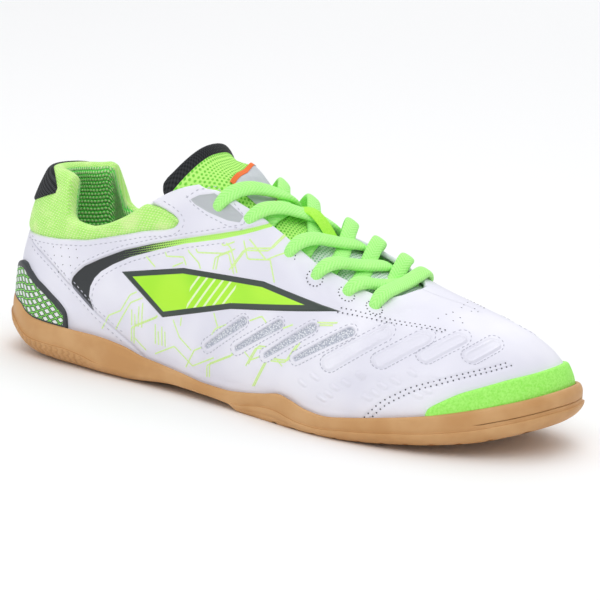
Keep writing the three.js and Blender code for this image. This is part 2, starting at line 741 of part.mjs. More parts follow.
/**
 * Padded cuff round the ankle. Its section climbs the outside, rounds over the rim and goes down
 * the inside; it runs from the lateral front round the heel to the medial front.
 */
function buildCuff() {
  const steps = 56;
  const first = turnOf(cuffFrontShare);
  const sections = [];
  for (let i = 0; i <= steps; i += 1) {
    const turn = first * (1 - 2 * i / steps);
    const [footX] = planPoint(wrap(turn));
    const share = footX / soleLength;
    const low = cuffLow(share) * collarHeight;
    const top = cuffTop(share) * collarHeight;
    const pad = cuffPadding * cuffPad(share);
    const half = (pad + cuffPuff) / 2;
    const crown = Math.min(half, (top - low) * 0.45);
    const place = (z, offset) => shellPoint(turn, riseAt(turn, z), offset);
    const outside = [0, 0.5, 1].map((s) => {
      const z = low + (top - crown - low) * s;
      return place(z, cuffPuff * Math.sin(Math.PI / 2 * Math.min(1, 0.35 + 1.3 * s)));
    });
    const over = [0.25, 0.5, 0.75].map((s) => {
      const a = Math.PI * s;
      return place(top - crown + crown * Math.sin(a), cuffPuff - half + half * Math.cos(a));
    });
    const inside = [1, 0.5, 0].map((s) => place(low + (top - crown - low) * s, -pad));
    sections.push([...outside, ...over, ...inside]);
  }
  return swept(sections).intersect(opening(0));
}

/** Dark tab sewn on the back of the cuff. */
function buildHeelTab() {
  const halfTurn = 0.078;
  const low = 0.755;
  const high = 0.935;
  const steps = 10;
  const inner = cuffPuff + gap;
  const sections = [];
  for (let i = 0; i <= steps; i += 1) {
    const across = 2 * i / steps - 1;
    const turn = -halfTurn * across;
    const foot = low + 0.05 * across ** 2;
    const head = high - 0.03 * across ** 4;
    const column = [0, 0.5, 1].map((s) => (foot + (head - foot) * s) * collarHeight);
    const face = (z, offset) => shellPoint(turn, riseAt(turn, z), offset);
    sections.push([
      ...column.map((z) => face(z, inner + tabThickness)),
      ...column.reverse().map((z) => face(z, inner)),
    ]);
  }
  return swept(sections);
}

/** Lattice clip that wraps the heel just over the sole. */
function buildCounter() {
  const region = sidePrism(overRim(counterRows, counterHeight));
  return overlay(counterThickness, region).intersect(aboveRim());
}

/** Soft bumper round the toe just over the sole. */
function buildToeGuard() {
  const region = sidePrism(overRim(guardRows, guardHeight));
  return overlay(guardThickness, region).intersect(aboveRim());
}

/** Saddle between the cuff and the slanting seam, with the upper eyelets. */
function buildSaddle(side) {
  const high = 3 * collarHeight;
  const region = sidePrism([
    ...sideView(saddleRows),
    [saddleRows.at(-1).along * soleLength, high], [saddleRows[0].along * soleLength, high],
  ], side);
  return overlay(saddleThickness, region)
    .subtract(opening(2 * gap))
    .subtract(eyeletPins(eyeletRadius, saddleEyelets));
}

const tongueWidthAt = along(tongueRows, 'width', steady);
const tonguePadAt = along(tongueRows, 'padding', steady);
const tongueFallAt = along(tongueRows, 'fall', steady);
const tongueDipAt = along(tongueRows, 'dip', steady);
const tongueFreeAt = along(tongueRows, 'free', steady);
const lacingLine = (station) => (station > 0.5 ? (station - 0.5) * -0.1 * ballWidth : 0);

/** Point of the tongue's outer face: run goes from its front to its free end, across from -1 to 1. */
function tonguePoint(run, across, sink = 0) {
  const station = tongueFrontShare - run * tongueLength / soleLength;
  const half = tongueWidthAt(run) * tongueWidth / 2;
  const middle = lacingLine(station);
  const onLast = (y) => {
    const side = y < ridgeDrift(station) * ballWidth ? -1 : 1;
    const turn = turnAt(station, side);
    return shellPoint(turn, Math.min(riseAcross(turn, y), ridgeShare), -tongueSink);
  };
  const crest = onLast(middle);
  const arch = new THREE.Vector3(
    crest.x - tongueSweep * across ** 2, middle + across * half, crest.z - tongueDroop * across ** 2);
  const p = onLast(middle + across * half).lerp(arch, tongueFreeAt(run));
  const drop = tongueFallAt(run) * instepHeight + tongueDipAt(run) * tongueDip * (1 - across ** 2);
  return new THREE.Vector3(p.x, p.y, p.z - drop - sink);
}

/** Padded tongue that lies under the lacing and ends above the collar. */
function buildTongue() {
  const runs = 20;
  const columns = [-1, -0.85, -0.6, -0.3, 0, 0.3, 0.6, 0.85, 1];
  const sections = [];
  for (let i = 0; i <= runs; i += 1) {
    const run = i / runs;
    const pad = tonguePadAt(run) * tonguePadding;
    const upper = columns.map((c) => tonguePoint(run, c, 0.15 * pad * c ** 4));
    const under = [...columns].reverse().map((c) => tonguePoint(run, c, pad * (1 - 0.3 * c ** 4)));
    sections.push([...upper, ...under]);
  }
  return swept(sections, true);
}

/** Thin plate that follows the tongue between two runs, lifted off its face. */
function tonguePlate(from, to, halfWidth, thickness) {
  const steps = 6;
  const columns = [-1, -0.6, -0.2, 0.2, 0.6, 1];
  const sections = [];
  for (let i = 0; i <= steps; i += 1) {
    const run = from + (to - from) * i / steps;
    const share = (c) => c * halfWidth / (tongueWidthAt(run) * tongueWidth / 2);
    const outer = columns.map((c) => tonguePoint(run, share(c), -plateLift - thickness));
    const inner = [...columns].reverse().map((c) => tonguePoint(run, share(c), -plateLift));
    sections.push([...outer, ...inner]);
  }
  return swept(sections, true);
}

/** Plain woven label near the tongue's free end. */
function buildLabel() {
  const end = 0.93;
  return tonguePlate(end - labelLength / tongueLength, end, labelWidth / 2, labelThickness);
}

/** Strap that lies lengthwise on the tongue's middle and keeps the lace centred. */
function buildKeeper() {
  const middle = 0.58;
  const half = keeperLength / 2 / tongueLength;
  return tonguePlate(middle - half, middle + half, keeperWidth / 2, keeperThickness);
}

/** One pass of lace from an eyelet on one side to an eyelet on the other, over the tongue. */
function lacePass(from, to, hump) {
  const steps = 8;
  const sides = 8;
  const start = eyeletPlace(eyeletRows[from], -1);
  const finish = eyeletPlace(eyeletRows[to], 1);
  const first = shellPoint(start.turn, start.rise);
  const final = shellPoint(finish.turn, finish.rise);
  const spine = [];
  const normals = [];
  for (let i = 0; i <= steps; i += 1) {
    const share = i / steps;
    const flat = first.clone().lerp(final, share);
    const station = flat.x / soleLength;
    const side = flat.y < ridgeDrift(station) * ballWidth ? -1 : 1;
    const turn = turnAt(station, side);
    const rise = Math.min(riseAcross(turn, flat.y), ridgeShare);
    const under = shellPoint(turn, rise);
    const lift = laceLift + laceThickness / 2 + (hump - laceDip) * Math.sin(Math.PI * share) ** 2;
    spine.push(shellPoint(turn, rise, lift));
    normals.push(shellPoint(turn, rise, 1).sub(under));
  }
  const sections = spine.map((p, i) => {
    const before = spine[Math.max(0, i - 1)];
    const after = spine[Math.min(steps, i + 1)];
    const forward = after.clone().sub(before).normalize();
    const across = forward.clone().cross(normals[i]).normalize();
    const over = across.clone().cross(forward).normalize();
    const taper = i === 0 || i === steps ? 0.6 : 1;
    return Array.from({ length: sides }, (_, k) => {
      const a = 2 * Math.PI * k / sides;
      return p.clone()
        .addScaledVector(across, taper * laceWidth / 2 * Math.cos(a))
        .addScaledVector(over, taper * laceThickness / 2 * Math.sin(a));
    });
  });
  return swept(sections);
}

/** All passes of the lace, joined where they cross. */
function buildLaces() {
  const last = eyeletRows.length - 1;
  const passes = [lacePass(last, last, 0)];
  for (let i = 0; i < last; i += 1) {
    passes.push(lacePass(i, i + 1, 0));
    passes.push(lacePass(i + 1, i, laceThickness * 0.7));
  }
  return wasm.Manifold.union(passes);
}

const gumRubber = new THREE.MeshStandardMaterial({ color: 0xc8945a, roughness: 0.55 });
const whiteHide = new THREE.MeshStandardMaterial({ color: 0xf0eff6, roughness: 0.5 });
const limeKnit = new THREE.MeshStandardMaterial({ color: 0x7df04a, roughness: 0.9 });
const limeFoam = new THREE.MeshStandardMaterial({ color: 0x8bf25a, roughness: 0.7 });
const darkKnit = new THREE.MeshStandardMaterial({ color: 0x2b2c2e, roughness: 0.9 });
const darkFilm = new THREE.MeshStandardMaterial({ color: 0x303335, roughness: 0.5 });
const greyFilm = new THREE.MeshStandardMaterial({ color: 0xb6b9bd, roughness: 0.35 });
const laceCord = new THREE.MeshStandardMaterial({ color: 0x84ee52, roughness: 0.85 });
const keeperTape = new THREE.MeshStandardMaterial({ color: 0xb6f33a, roughness: 0.7 });
const greyFoam = new THREE.MeshStandardMaterial({ color: 0x6d7278, roughness: 0.95 });

const pieces = [
  ['outsole', buildOutsole(), gumRubber],
  ['insole', buildInsole(), greyFoam],
  ['upper', buildUpper(), whiteHide],
  ['collar_cuff', buildCuff(), limeKnit],
  ['heel_tab', buildHeelTab(), darkKnit],
  ['heel_counter', buildCounter(), darkFilm],
  ['toe_guard', buildToeGuard(), limeFoam],
  ['saddle_lateral', buildSaddle(-1), whiteHide],
  ['saddle_medial', buildSaddle(1), whiteHide],
  ['tongue', buildTongue(), limeKnit],
  ['tongue_label', buildLabel(), greyFilm],
  ['lace_keeper', buildKeeper(), keeperTape],
  ['laces', buildLaces(), laceCord],
];

const shoe = new THREE.Group();
for (const [name, made, material] of pieces) {
  const mesh = new THREE.Mesh(shown(made), material);
  mesh.name = name;
  shoe.add(mesh);
}

// The origin goes to the middle of the shoe's box, on the floor
const box = new THREE.Box3().setFromObject(shoe);
const middle = box.getCenter(new THREE.Vector3());
shoe.position.set(-middle.x, -middle.y, -box.min.z);

export default shoe;
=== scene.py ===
"""Dresses the CAD frame of a low-cut football shoe, right foot.

Lengths are in millimetres in the last's own frame while a piece is worked out: x runs from the
heel's back (0) to the toe, y to the inner side of the foot, z up from the floor. Placement moves
every finished point into the row's frame, in metres.
"""
from __future__ import annotations

import logging
import math
from dataclasses import dataclass, field
from enum import Enum

import bpy
import numpy as np
from mathutils import Matrix, Vector

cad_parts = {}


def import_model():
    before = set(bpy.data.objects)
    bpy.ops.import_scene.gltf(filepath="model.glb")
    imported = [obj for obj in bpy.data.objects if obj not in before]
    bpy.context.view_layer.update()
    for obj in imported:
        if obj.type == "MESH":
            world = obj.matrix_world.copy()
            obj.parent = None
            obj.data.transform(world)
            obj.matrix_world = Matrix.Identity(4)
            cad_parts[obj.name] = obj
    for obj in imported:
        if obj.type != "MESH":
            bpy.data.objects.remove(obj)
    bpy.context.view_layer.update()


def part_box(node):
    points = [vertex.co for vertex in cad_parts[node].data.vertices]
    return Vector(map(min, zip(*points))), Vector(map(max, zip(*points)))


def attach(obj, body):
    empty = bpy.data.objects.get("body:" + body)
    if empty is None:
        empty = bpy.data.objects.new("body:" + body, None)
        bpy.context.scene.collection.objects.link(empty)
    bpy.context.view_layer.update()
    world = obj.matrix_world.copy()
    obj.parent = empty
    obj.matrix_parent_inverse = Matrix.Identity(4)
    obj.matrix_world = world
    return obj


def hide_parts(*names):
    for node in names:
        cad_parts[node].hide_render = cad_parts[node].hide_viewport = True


log = logging.getLogger("shoe")
Array = np.ndarray
Piece = bpy.types.Object
Material = bpy.types.Material


# Curves


class Fit(Enum):
    """How a curve runs between its knots."""

    SMOOTH = "natural cubic spline"
    STEADY = "never overshoots its knots"


class Curve:
    """A function through a short table of knots."""

    def __init__(self, knots: list[float], values: list[float], fit: Fit = Fit.STEADY) -> None:
        """Prepare the curve.

        Args:
            knots: Increasing places.
            values: Values at the knots.
            fit: Smooth or steady.
        """
        self.k = np.asarray(knots, float)
        self.v = np.asarray(values, float)
        self.fit = fit
        n = len(self.k)
        h = np.diff(self.k)
        slope = np.diff(self.v) / h
        if fit is Fit.SMOOTH:
            system = np.eye(n)
            right = np.zeros(n)
            for i in range(1, n - 1):
                system[i, i - 1:i + 2] = h[i - 1], 2 * (h[i - 1] + h[i]), h[i]
                right[i] = 6 * (slope[i] - slope[i - 1])
            self.m = np.linalg.solve(system, right)
        else:
            product = slope[:-1] * slope[1:]
            safe = np.where(product > 0, slope[:-1] + slope[1:], 1)
            inner = np.where(product > 0, 2 * product / safe, 0.0)
            self.m = np.concatenate([[0.0], inner, [slope[-1]]])

    def __call__(self, at: Array) -> Array:
        """Value at a place; the ends hold."""
        x = np.clip(np.asarray(at, float), self.k[0], self.k[-1])
        i = np.clip(np.searchsorted(self.k, x, side="right") - 1, 0, len(self.k) - 2)
        h = self.k[i + 1] - self.k[i]
        b = (x - self.k[i]) / h
        a = 1 - b
        if self.fit is Fit.SMOOTH:
            curve = ((a**3 - a) * self.m[i] + (b**3 - b) * self.m[i + 1]) * h**2 / 6
            return a * self.v[i] + b * self.v[i + 1] + curve
        return ((1 + 2 * b) * a**2 * self.v[i] + b * a**2 * h * self.m[i]
                + b * b * (3 - 2 * b) * self.v[i + 1] - b * b * a * h * self.m[i + 1])


def smooth_step(x: Array, low: float, high: float) -> Array:
    """Rises from 0 at low to 1 at high along 3t^2 - 2t^3."""
    t = np.clip((x - low) / (high - low), 0, 1)
    return t * t * (3 - 2 * t)


def bell(x: Array, middle: float, width: float) -> Array:
    """Bell of height 1 round the middle: exp(-((x - middle) / width)^2)."""
    return np.exp(-((x - middle) / width) ** 2)


def round_over(share: Array, least: float = 0.0) -> Array:
    """Height of a quarter circle over a share of its radius, from least to 1."""
    return np.sqrt(np.clip(1 - (1 - np.clip(share, 0, 1)) ** 2, least, 1))


def blunt(wave: Array, power: float) -> Array:
    """A sine or cosine raised to a power with its sign kept, as round a superellipse."""
    return np.sign(wave) * np.abs(wave) ** power


def circle(count: int) -> Array:
    """Angles evenly round a full turn."""
    return np.linspace(0, 2 * np.pi, count, endpoint=False)


def cosine_spaced(count: int) -> Array:
    """Places from 0 to 1 that lie closer towards both ends."""
    return (1 - np.cos(np.linspace(0, np.pi, count))) / 2


def lengths(points: Array) -> Array:
    """Length run along the first axis of a path or of a grid of points, from 0."""
    steps = np.linalg.norm(np.diff(points, axis=0), axis=-1)
    return np.concatenate([0 * steps[:1], np.cumsum(steps, axis=0)])


def between(a: Array, b: Array, count: int) -> tuple[Array, Array]:
    """Straight lines from points a to points b: the share along them, and their points."""
    t = np.linspace(0, 1, count)[:, None, None]
    return t[..., 0], a[None] * (1 - t) + b[None] * t


def sided(stem: str, side: int) -> str:
    """Name of a piece that each half of the shoe has."""
    return f"{stem}_lateral" if side < 0 else f"{stem}_medial"


def columns(rows: list[tuple[float, ...]]) -> list[list[float]]:
    """Turn rows into columns."""
    return [list(column) for column in zip(*rows)]


# The last


@dataclass
class Last:
    """The form that the upper is drawn over, as in the part's source.

    A rib climbs from the feather edge (rise 0) to the ridge (rise 1) as a quarter of a
    superellipse; rise beyond 1 goes down the opposite rib. turn is 0 at the heel and 0.5 at the toe.
    """

    length: float = 286.0
    ball: float = 99.0
    instep: float = 88.0
    collar: float = 88.0
    rim_width: float = 3.4
    rim_height: float = 19.0
    heel_stack: float = 13.0
    heel_flare: float = 4.0
    sole_bevel: float = 5.5
    side_step: float = 0.9
    arch: float = 5.5
    toe_spring: float = 17.0
    heel_lift: float = 3.5
    side_bulge: float = 2.2
    heel_curl: float = 6.0
    heel_pole: float = 0.126
    toe_pole: float = 0.84
    pole_soft: float = 10.0
    belly_start: float = 6.0
    belly_height: float = 42.0
    curl_start: float = 45.0
    curl_run: float = 30.0

    # along, lateral side, medial side
    outline_rows: tuple = (
        (0.03, 0.227, 0.222), (0.12, 0.343, 0.338), (0.3, 0.354, 0.323), (0.42, 0.379, 0.308),
        (0.55, 0.439, 0.374), (0.66, 0.5, 0.465), (0.74, 0.5, 0.5), (0.85, 0.434, 0.475),
        (0.94, 0.273, 0.384), (0.985, 0.1, 0.283),
    )
    toe_tip: float = 0.096
    # along, ridge height, ridge drift
    ridge_rows: tuple = (
        (0, 1.66, 0), (0.2, 1.66, 0), (0.3, 1.55, 0), (0.38, 1.32, 0), (0.45, 1.15, 0.005),
        (0.55, 1.0, 0.02), (0.65, 0.84, 0.045), (0.72, 0.735, 0.065), (0.8, 0.65, 0.09),
        (0.88, 0.588, 0.1), (0.94, 0.55, 0.1), (1, 0.5, 0.1),
    )
    # along, roundness, lean, belly, curl
    section_rows: tuple = (
        (0, 2.6, 0.1, 0.7, 1), (0.1, 2.6, 0.09, 0.7, 0.9), (0.25, 2.45, 0.08, 0.7, 0.1),
        (0.4, 2.15, 0.03, 0.9, 0), (0.55, 2.1, 0, 1, 0), (0.75, 2.2, 0, 1, 0),
        (0.9, 2.3, 0, 0.9, 0), (1, 2.3, 0, 0.7, 0),
    )
    # along, rim, stack, flare, bevel
    sole_rows: tuple = (
        (0, 1.4, 1.08, 1, 2.3), (0.058, 1.25, 1.04, 0.6, 2.2), (0.075, 1.1, 1.03, 0.5, 2.1),
        (0.1, 1, 1.01, 0.3, 2), (0.15, 0.97, 1, 0.15, 1.8), (0.224, 0.95, 0.92, 0, 1.4),
        (0.282, 0.85, 0.83, 0, 1.2), (0.322, 0.7, 0.72, 0, 1.1), (0.363, 0.62, 0.64, 0, 1),
        (0.403, 0.54, 0.56, 0, 0.9), (0.45, 0.45, 0.46, 0, 0.8), (0.49, 0.44, 0.44, 0, 0.6),
        (0.53, 0.51, 0.47, 0, 0.4), (0.57, 0.63, 0.5, 0, 0.4), (0.602, 0.73, 0.52, 0, 0.45),
        (0.625, 0.67, 0.53, 0, 0.5), (0.655, 0.56, 0.53, 0, 0.6), (0.69, 0.51, 0.53, 0, 0.7),
        (0.73, 0.59, 0.56, 0, 0.8), (0.79, 0.75, 0.66, 0, 0.9), (0.85, 0.92, 0.82, 0.05, 0.9),
        (0.92, 1.18, 1.08, 0.15, 1), (0.966, 1.38, 1.4, 0.3, 1), (1, 1.55, 1.75, 0.4, 1),
    )

    def __post_init__(self) -> None:
        """Build the curves from the tables."""
        side: list[tuple[float, float]] = [(0.0, 0.0)]
        side += [(self.turn_of(a), -lat) for a, lat, _ in self.outline_rows]
        side += [(0.5, self.toe_tip)]
        side += [(1 - self.turn_of(a), med) for a, _, med in reversed(self.outline_rows)]
        cycle = [(t + c, y) for c in (-1, 0, 1) for t, y in side]
        self.side = Curve(*columns(cycle), fit=Fit.SMOOTH)
        a, height, drift = columns(self.ridge_rows)
        self.ridge_height = Curve(a, height, Fit.SMOOTH)
        self.ridge_drift = Curve(a, drift, Fit.SMOOTH)
        a, roundness, lean, belly, curl = columns(self.section_rows)
        self.roundness, self.lean, self.belly, self.curl = (
            Curve(a, v, Fit.SMOOTH) for v in (roundness, lean, belly, curl))
        a, rim, stack, flare, bevel = columns(self.sole_rows)
        self.rim_share, self.stack, self.flare, self.bevel = (
            Curve(a, v) for v in (rim, stack, flare, bevel))
        spring, arch, lift = self.toe_spring, self.arch, self.heel_lift
        self.underside = Curve(
            [0, 0.035, 0.07, 0.11, 0.15, 0.28, 0.39, 0.44, 0.5, 0.52, 0.7, 0.75, 0.81, 0.867, 0.917, 0.95, 1],
            [lift * 1.4, lift * 0.8, lift * 0.4, lift * 0.1, 0, 0, arch * 0.55, arch * 0.5, arch * 0.36, 0, 0,
             spring * 0.05, spring * 0.16, spring * 0.28, spring * 0.42, spring * 0.58, spring * 0.85])

    @staticmethod
    def turn_of(station: float) -> float:
        """Turn, on the lateral side, of a share of the length."""
        return math.acos(1 - 2 * station) / (2 * math.pi)

    def turn_at(self, station: Array, side: int) -> Array:
        """Turn of a station on one side: side is -1 for lateral and 1 for medial."""
        u = np.arccos(1 - 2 * np.clip(station, 0, 1)) / (2 * np.pi)
        return u if side < 0 else 1 - u

    def plan(self, turn: Array, inset: Array | float = 0.0) -> tuple[Array, Array]:
        """Plan outline: x = L/2 (1 - cos 2 pi turn), y from the side curve, drawn in by inset."""
        def place(u: Array) -> tuple[Array, Array]:
            """Point of the outline itself."""
            return self.length / 2 * (1 - np.cos(2 * np.pi * u)), self.side(u) * self.ball
        turn = np.mod(turn, 1.0)
        x, y = place(turn)
        x0, y0 = place(turn - 1e-4)
        x1, y1 = place(turn + 1e-4)
        run = np.hypot(x1 - x0, y1 - y0)
        return x - (y1 - y0) / run * inset, y + (x1 - x0) / run * inset

    def share(self, x: Array) -> Array:
        """Share of the length at x, from 0 to 1."""
        return np.clip(x / self.length, 0, 1)

    def rim(self, station: Array) -> Array:
        """Height of the sole's rim."""
        return self.rim_share(station) * self.rim_height

    def point(self, turn: Array, rise: Array) -> Array:
        """Point of the last's surface; see the class for the formula."""
        turn, rise = np.broadcast_arrays(np.asarray(turn, float), np.asarray(rise, float))
        over = rise > 1
        turn = np.mod(np.where(over, 1 - turn, turn), 1.0)
        rise = np.clip(np.where(over, 2 - rise, rise), 0, 1)
        foot_x, foot_y = self.plan(turn, self.rim_width)
        station = self.share(foot_x)

        def larger(a: Array, b: float) -> Array:
            """Larger of two, with a soft turn from one to the other."""
            return 0.5 * (a + b + np.hypot(a - b, self.pole_soft))
        top_x = -larger(-larger(foot_x, self.heel_pole * self.length), -self.toe_pole * self.length)
        top_y = self.ridge_drift(top_x / self.length) * self.ball
        power = 2 / self.roundness(station)
        inward = 1 - np.maximum(np.cos(rise * np.pi / 2), 0) ** power
        upward = np.sin(rise * np.pi / 2) ** power
        across_x, across_y = top_x - foot_x, top_y - foot_y
        across = np.hypot(across_x, across_y)
        foot = self.stack(station) * self.heel_stack
        x = foot_x + across_x * inward
        top = self.ridge_height(self.share(x)) * self.instep
        climb = upward * (top - foot)
        swell = np.sin(np.pi * np.clip((climb - self.belly_start) / self.belly_height, 0, 1))
        bend = np.minimum(np.maximum(0, (climb - self.curl_start) / self.curl_run) ** 2, 1.5)
        shift = (self.lean(station) * climb - self.belly(station) * self.side_bulge * swell
                 + self.curl(station) * self.heel_curl * bend) * (1 - inward)
        return np.stack([x + across_x / across * shift,
                         foot_y + across_y * inward + across_y / across * shift,
                         foot + climb], -1)

    def normal(self, turn: Array, rise: Array) -> Array:
        """Outward unit normal, the cross product of the two central differences."""
        d = 0.002
        turn, rise = np.broadcast_arrays(np.asarray(turn, float), np.asarray(rise, float))
        rise = np.where(np.abs(rise - 1) < d, 1 - d * 1.01, rise)
        around = self.point(turn + d, rise) - self.point(turn - d, rise)
        up = self.point(turn, rise + d) - self.point(turn, np.maximum(rise - d, 0))
        n = np.cross(around, up)
        return n / np.maximum(np.linalg.norm(n, axis=-1, keepdims=True), 1e-9)

    def shell(self, turn: Array, rise: Array, offset: Array | float) -> Array:
        """Surface moved outwards by offset along its normal."""
        return self.point(turn, rise) + self.normal(turn, rise) * np.asarray(offset)[..., None]

    def rise_at(self, turn: Array, z: Array) -> Array:
        """Rise at which a rib reaches the height z, by halving."""
        turn, z = np.broadcast_arrays(np.asarray(turn, float), np.asarray(z, float))
        low, high = np.zeros(turn.shape), np.ones(turn.shape)
        for _ in range(15):
            mid = (low + high) / 2
            under = self.point(turn, mid)[..., 2] < z
            low, high = np.where(under, mid, low), np.where(under, high, mid)
        return (low + high) / 2

    def rise_across(self, turn: Array, y: Array, side: int) -> Array:
        """Rise, from 0 to 2, at which the way over the last from one side lies y across."""
        turn, y = np.broadcast_arrays(np.asarray(turn, float), np.asarray(y, float))
        low, high = np.full(turn.shape, 0.05), np.full(turn.shape, 1.95)
        for _ in range(16):
            mid = (low + high) / 2
            before = self.point(turn, mid)[..., 1] * side > y * side
            low, high = np.where(before, mid, low), np.where(before, high, mid)
        return (low + high) / 2

    def at(self, x: Array, z: Array, side: int) -> tuple[Array, Array]:
        """Turn and rise of the surface point with side-view coordinates x and z."""
        x, z = np.broadcast_arrays(np.asarray(x, float), np.asarray(z, float))
        station = np.clip(x / self.length, 0.001, 0.999)
        for _ in range(5):
            turn = self.turn_at(station, side)
            rise = self.rise_at(turn, z)
            station = np.clip(station + (x - self.point(turn, rise)[..., 0]) / self.length,
                              0.0005, 0.9995)
        return turn, rise

    def over(self, x: Array, y: Array) -> tuple[Array, Array]:
        """Turn and rise of the surface point seen from above at x and y."""
        x, y = np.broadcast_arrays(np.asarray(x, float), np.asarray(y, float))
        station = np.clip(x / self.length, 0.001, 0.999)
        for _ in range(5):
            turn = self.turn_at(station, -1)
            rise = self.rise_across(turn, y, -1)
            station = np.clip(station + (x - self.point(turn, rise)[..., 0]) / self.length,
                              0.0005, 0.9995)
        return turn, rise


LAST = Last()


@dataclass
class Placement:
    """Moves points from the last's frame to the row's frame."""

    offset: Array = field(default_factory=lambda: np.zeros(3))

    @classmethod
    def from_frame(cls, last: Last) -> Placement:
        """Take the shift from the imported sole's box.

        Args:
            last: The last whose frame is placed.

        Returns:
            The placement.
        """
        low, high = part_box("outsole")
        turn = np.linspace(0, 1, 2001)
        y = last.plan(turn)[1]
        middle = (low[1] + high[1]) / 2 * 1000
        return cls(np.array([low[0] * 1000 + last.heel_flare, middle - (y.min() + y.max()) / 2, 0.0]))

    def metres(self, points: Array) -> Array:
        """Points of the row's frame, in metres."""
        return (np.asarray(points) + self.offset) / 1000


PLACE = Placement()


# Meshes


def grid_faces(rows: int, cols: int, close_cols: bool = False) -> Array:
    """Quads of a grid whose points run row by row.

    Args:
        rows: Number of rows.
        cols: Number of points in a row.
        close_cols: Join each row's end to its start.

    Returns:
        An array of quads.
    """
    c = np.arange(cols if close_cols else cols - 1)
    r, c = np.meshgrid(np.arange(rows - 1), c, indexing="ij")
    r1, c1 = r + 1, (c + 1) % cols
    return np.stack([r * cols + c, r * cols + c1, r1 * cols + c1, r1 * cols + c], -1).reshape(-1, 4)


def build(name: str, points: Array, faces: Array, finish: Finish,
          layers: dict[str, Array] | None = None, uv: Array | None = None,
          flip: bool = False) -> Piece:
    """Make a smooth mesh object from whole arrays.

    Args:
        name: Object name.
        points: Vertices in the last's frame.
        faces: Quads or triangles.
        finish: What it is made of.
        layers: Values per vertex, by attribute name.
        uv: Two values per vertex, in millimetres.
        flip: Turn the faces round.

    Returns:
        The object, linked to the scene.
    """
    points = np.ascontiguousarray(points.reshape(-1, 3))
    faces = np.ascontiguousarray(faces[:, ::-1] if flip else faces)
    size = faces.shape[1]
    mesh = bpy.data.meshes.new(name)
    mesh.vertices.add(len(points))
    mesh.vertices.foreach_set("co", PLACE.metres(points).astype(np.float32).ravel())
    mesh.loops.add(faces.size)
    mesh.loops.foreach_set("vertex_index", faces.astype(np.int32).ravel())
    mesh.polygons.add(len(faces))
    mesh.polygons.foreach_set("loop_start", np.arange(0, faces.size, size, dtype=np.int32))
    mesh.polygons.foreach_set("loop_total", np.full(len(faces), size, np.int32))
    mesh.polygons.foreach_set("use_smooth", np.ones(len(faces), bool))
    for key, values in (layers or {}).items():
        layer = mesh.attributes.new(key, "FLOAT", "POINT")
        layer.data.foreach_set("value", np.asarray(values, np.float32).ravel())
    if uv is not None:
        layer = mesh.uv_layers.new(name="UVMap")
        layer.data.foreach_set("uv", uv.reshape(-1, 2)[faces.ravel()].astype(np.float32).ravel())
    mesh.update(calc_edges=True)
    mesh.validate()
    mesh.materials.append(finish.material())
    piece = bpy.data.objects.new(name, mesh)
    bpy.context.scene.collection.objects.link(piece)
    return piece


def declare(piece: Piece, slot: str, *nodes: str) -> Piece:
    """Attach a piece to the root body, hide the CAD nodes it stands for, and log it."""
    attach(piece, "root")
    if nodes:
        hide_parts(*nodes)
    log.info("%s: %d faces", piece.name, len(piece.data.polygons))
    return piece


def resample(path: Array, step: float) -> Array:
    """Points evenly spaced along a polyline, its ends kept."""
    path = np.asarray(path, float)
    run = lengths(path)
    at = np.linspace(0, run[-1], max(2, int(round(run[-1] / step)) + 1))
    return np.stack([np.interp(at, run, path[:, i]) for i in range(path.shape[1])], -1)


def rounded(path: Array, step: float) -> Array:
    """Smooth curve through a few points, by a steady curve for each coordinate, evenly spaced."""
    path = np.asarray(path, float)
    run = lengths(path)
    at = np.linspace(0, run[-1], max(8, int(run[-1] / step * 2)))
    fine = np.stack([Curve(run, path[:, i], Fit.SMOOTH)(at) for i in range(path.shape[1])], -1)
    return resample(fine, step)


def path_distance(points: Array, path: Array, reach: float = 1e9) -> tuple[Array, Array]:
    """Distance from points to a polyline, and how far along it the nearest place is.

    Args:
        points: Points, the last axis being the coordinates.
        path: The polyline's points.
        reach: Points farther than this from the polyline's box keep this distance.

    Returns:
        Distance and length along, both shaped like the points.
    """
    flat = points.reshape(-1, points.shape[-1])
    best, where = np.full(len(flat), float(reach)), np.zeros(len(flat))
    near = np.all((flat > path.min(0) - reach) & (flat < path.max(0) + reach), axis=1)
    p = flat[near]
    d2, s = np.full(len(p), float(reach) ** 2), np.zeros(len(p))
    run = 0.0
    for a, b in zip(path[:-1], path[1:]):
        ab = b - a
        size = float(np.linalg.norm(ab)) or 1e-9
        t = np.clip((p - a) @ ab / size**2, 0, 1)
        gap = p - a - t[:, None] * ab
        e2 = np.einsum("ij,ij->i", gap, gap)
        closer = e2 < d2
        d2, s = np.where(closer, e2, d2), np.where(closer, run + t * size, s)
        run += size
    best[near], where[near] = np.sqrt(d2), s
    return best.reshape(points.shape[:-1]), where.reshape(points.shape[:-1])


def region_distance(points: Array, polygon: Array) -> Array:
    """Distance to a polygon's edge in a plane, negative inside, by counting crossings."""
    ring = np.vstack([polygon, polygon[:1]])
    distance, _ = path_distance(points, ring)
    x, y = points[..., 0], points[..., 1]
    odd = np.zeros(x.shape, bool)
    for (ax, ay), (bx, by) in zip(ring[:-1], ring[1:]):
        if ay == by:
            continue
        crosses = ((ay > y) != (by > y)) & (x < (bx - ax) * (y - ay) / (by - ay) + ax)
        odd ^= crosses
    return np.where(odd, -distance, distance)


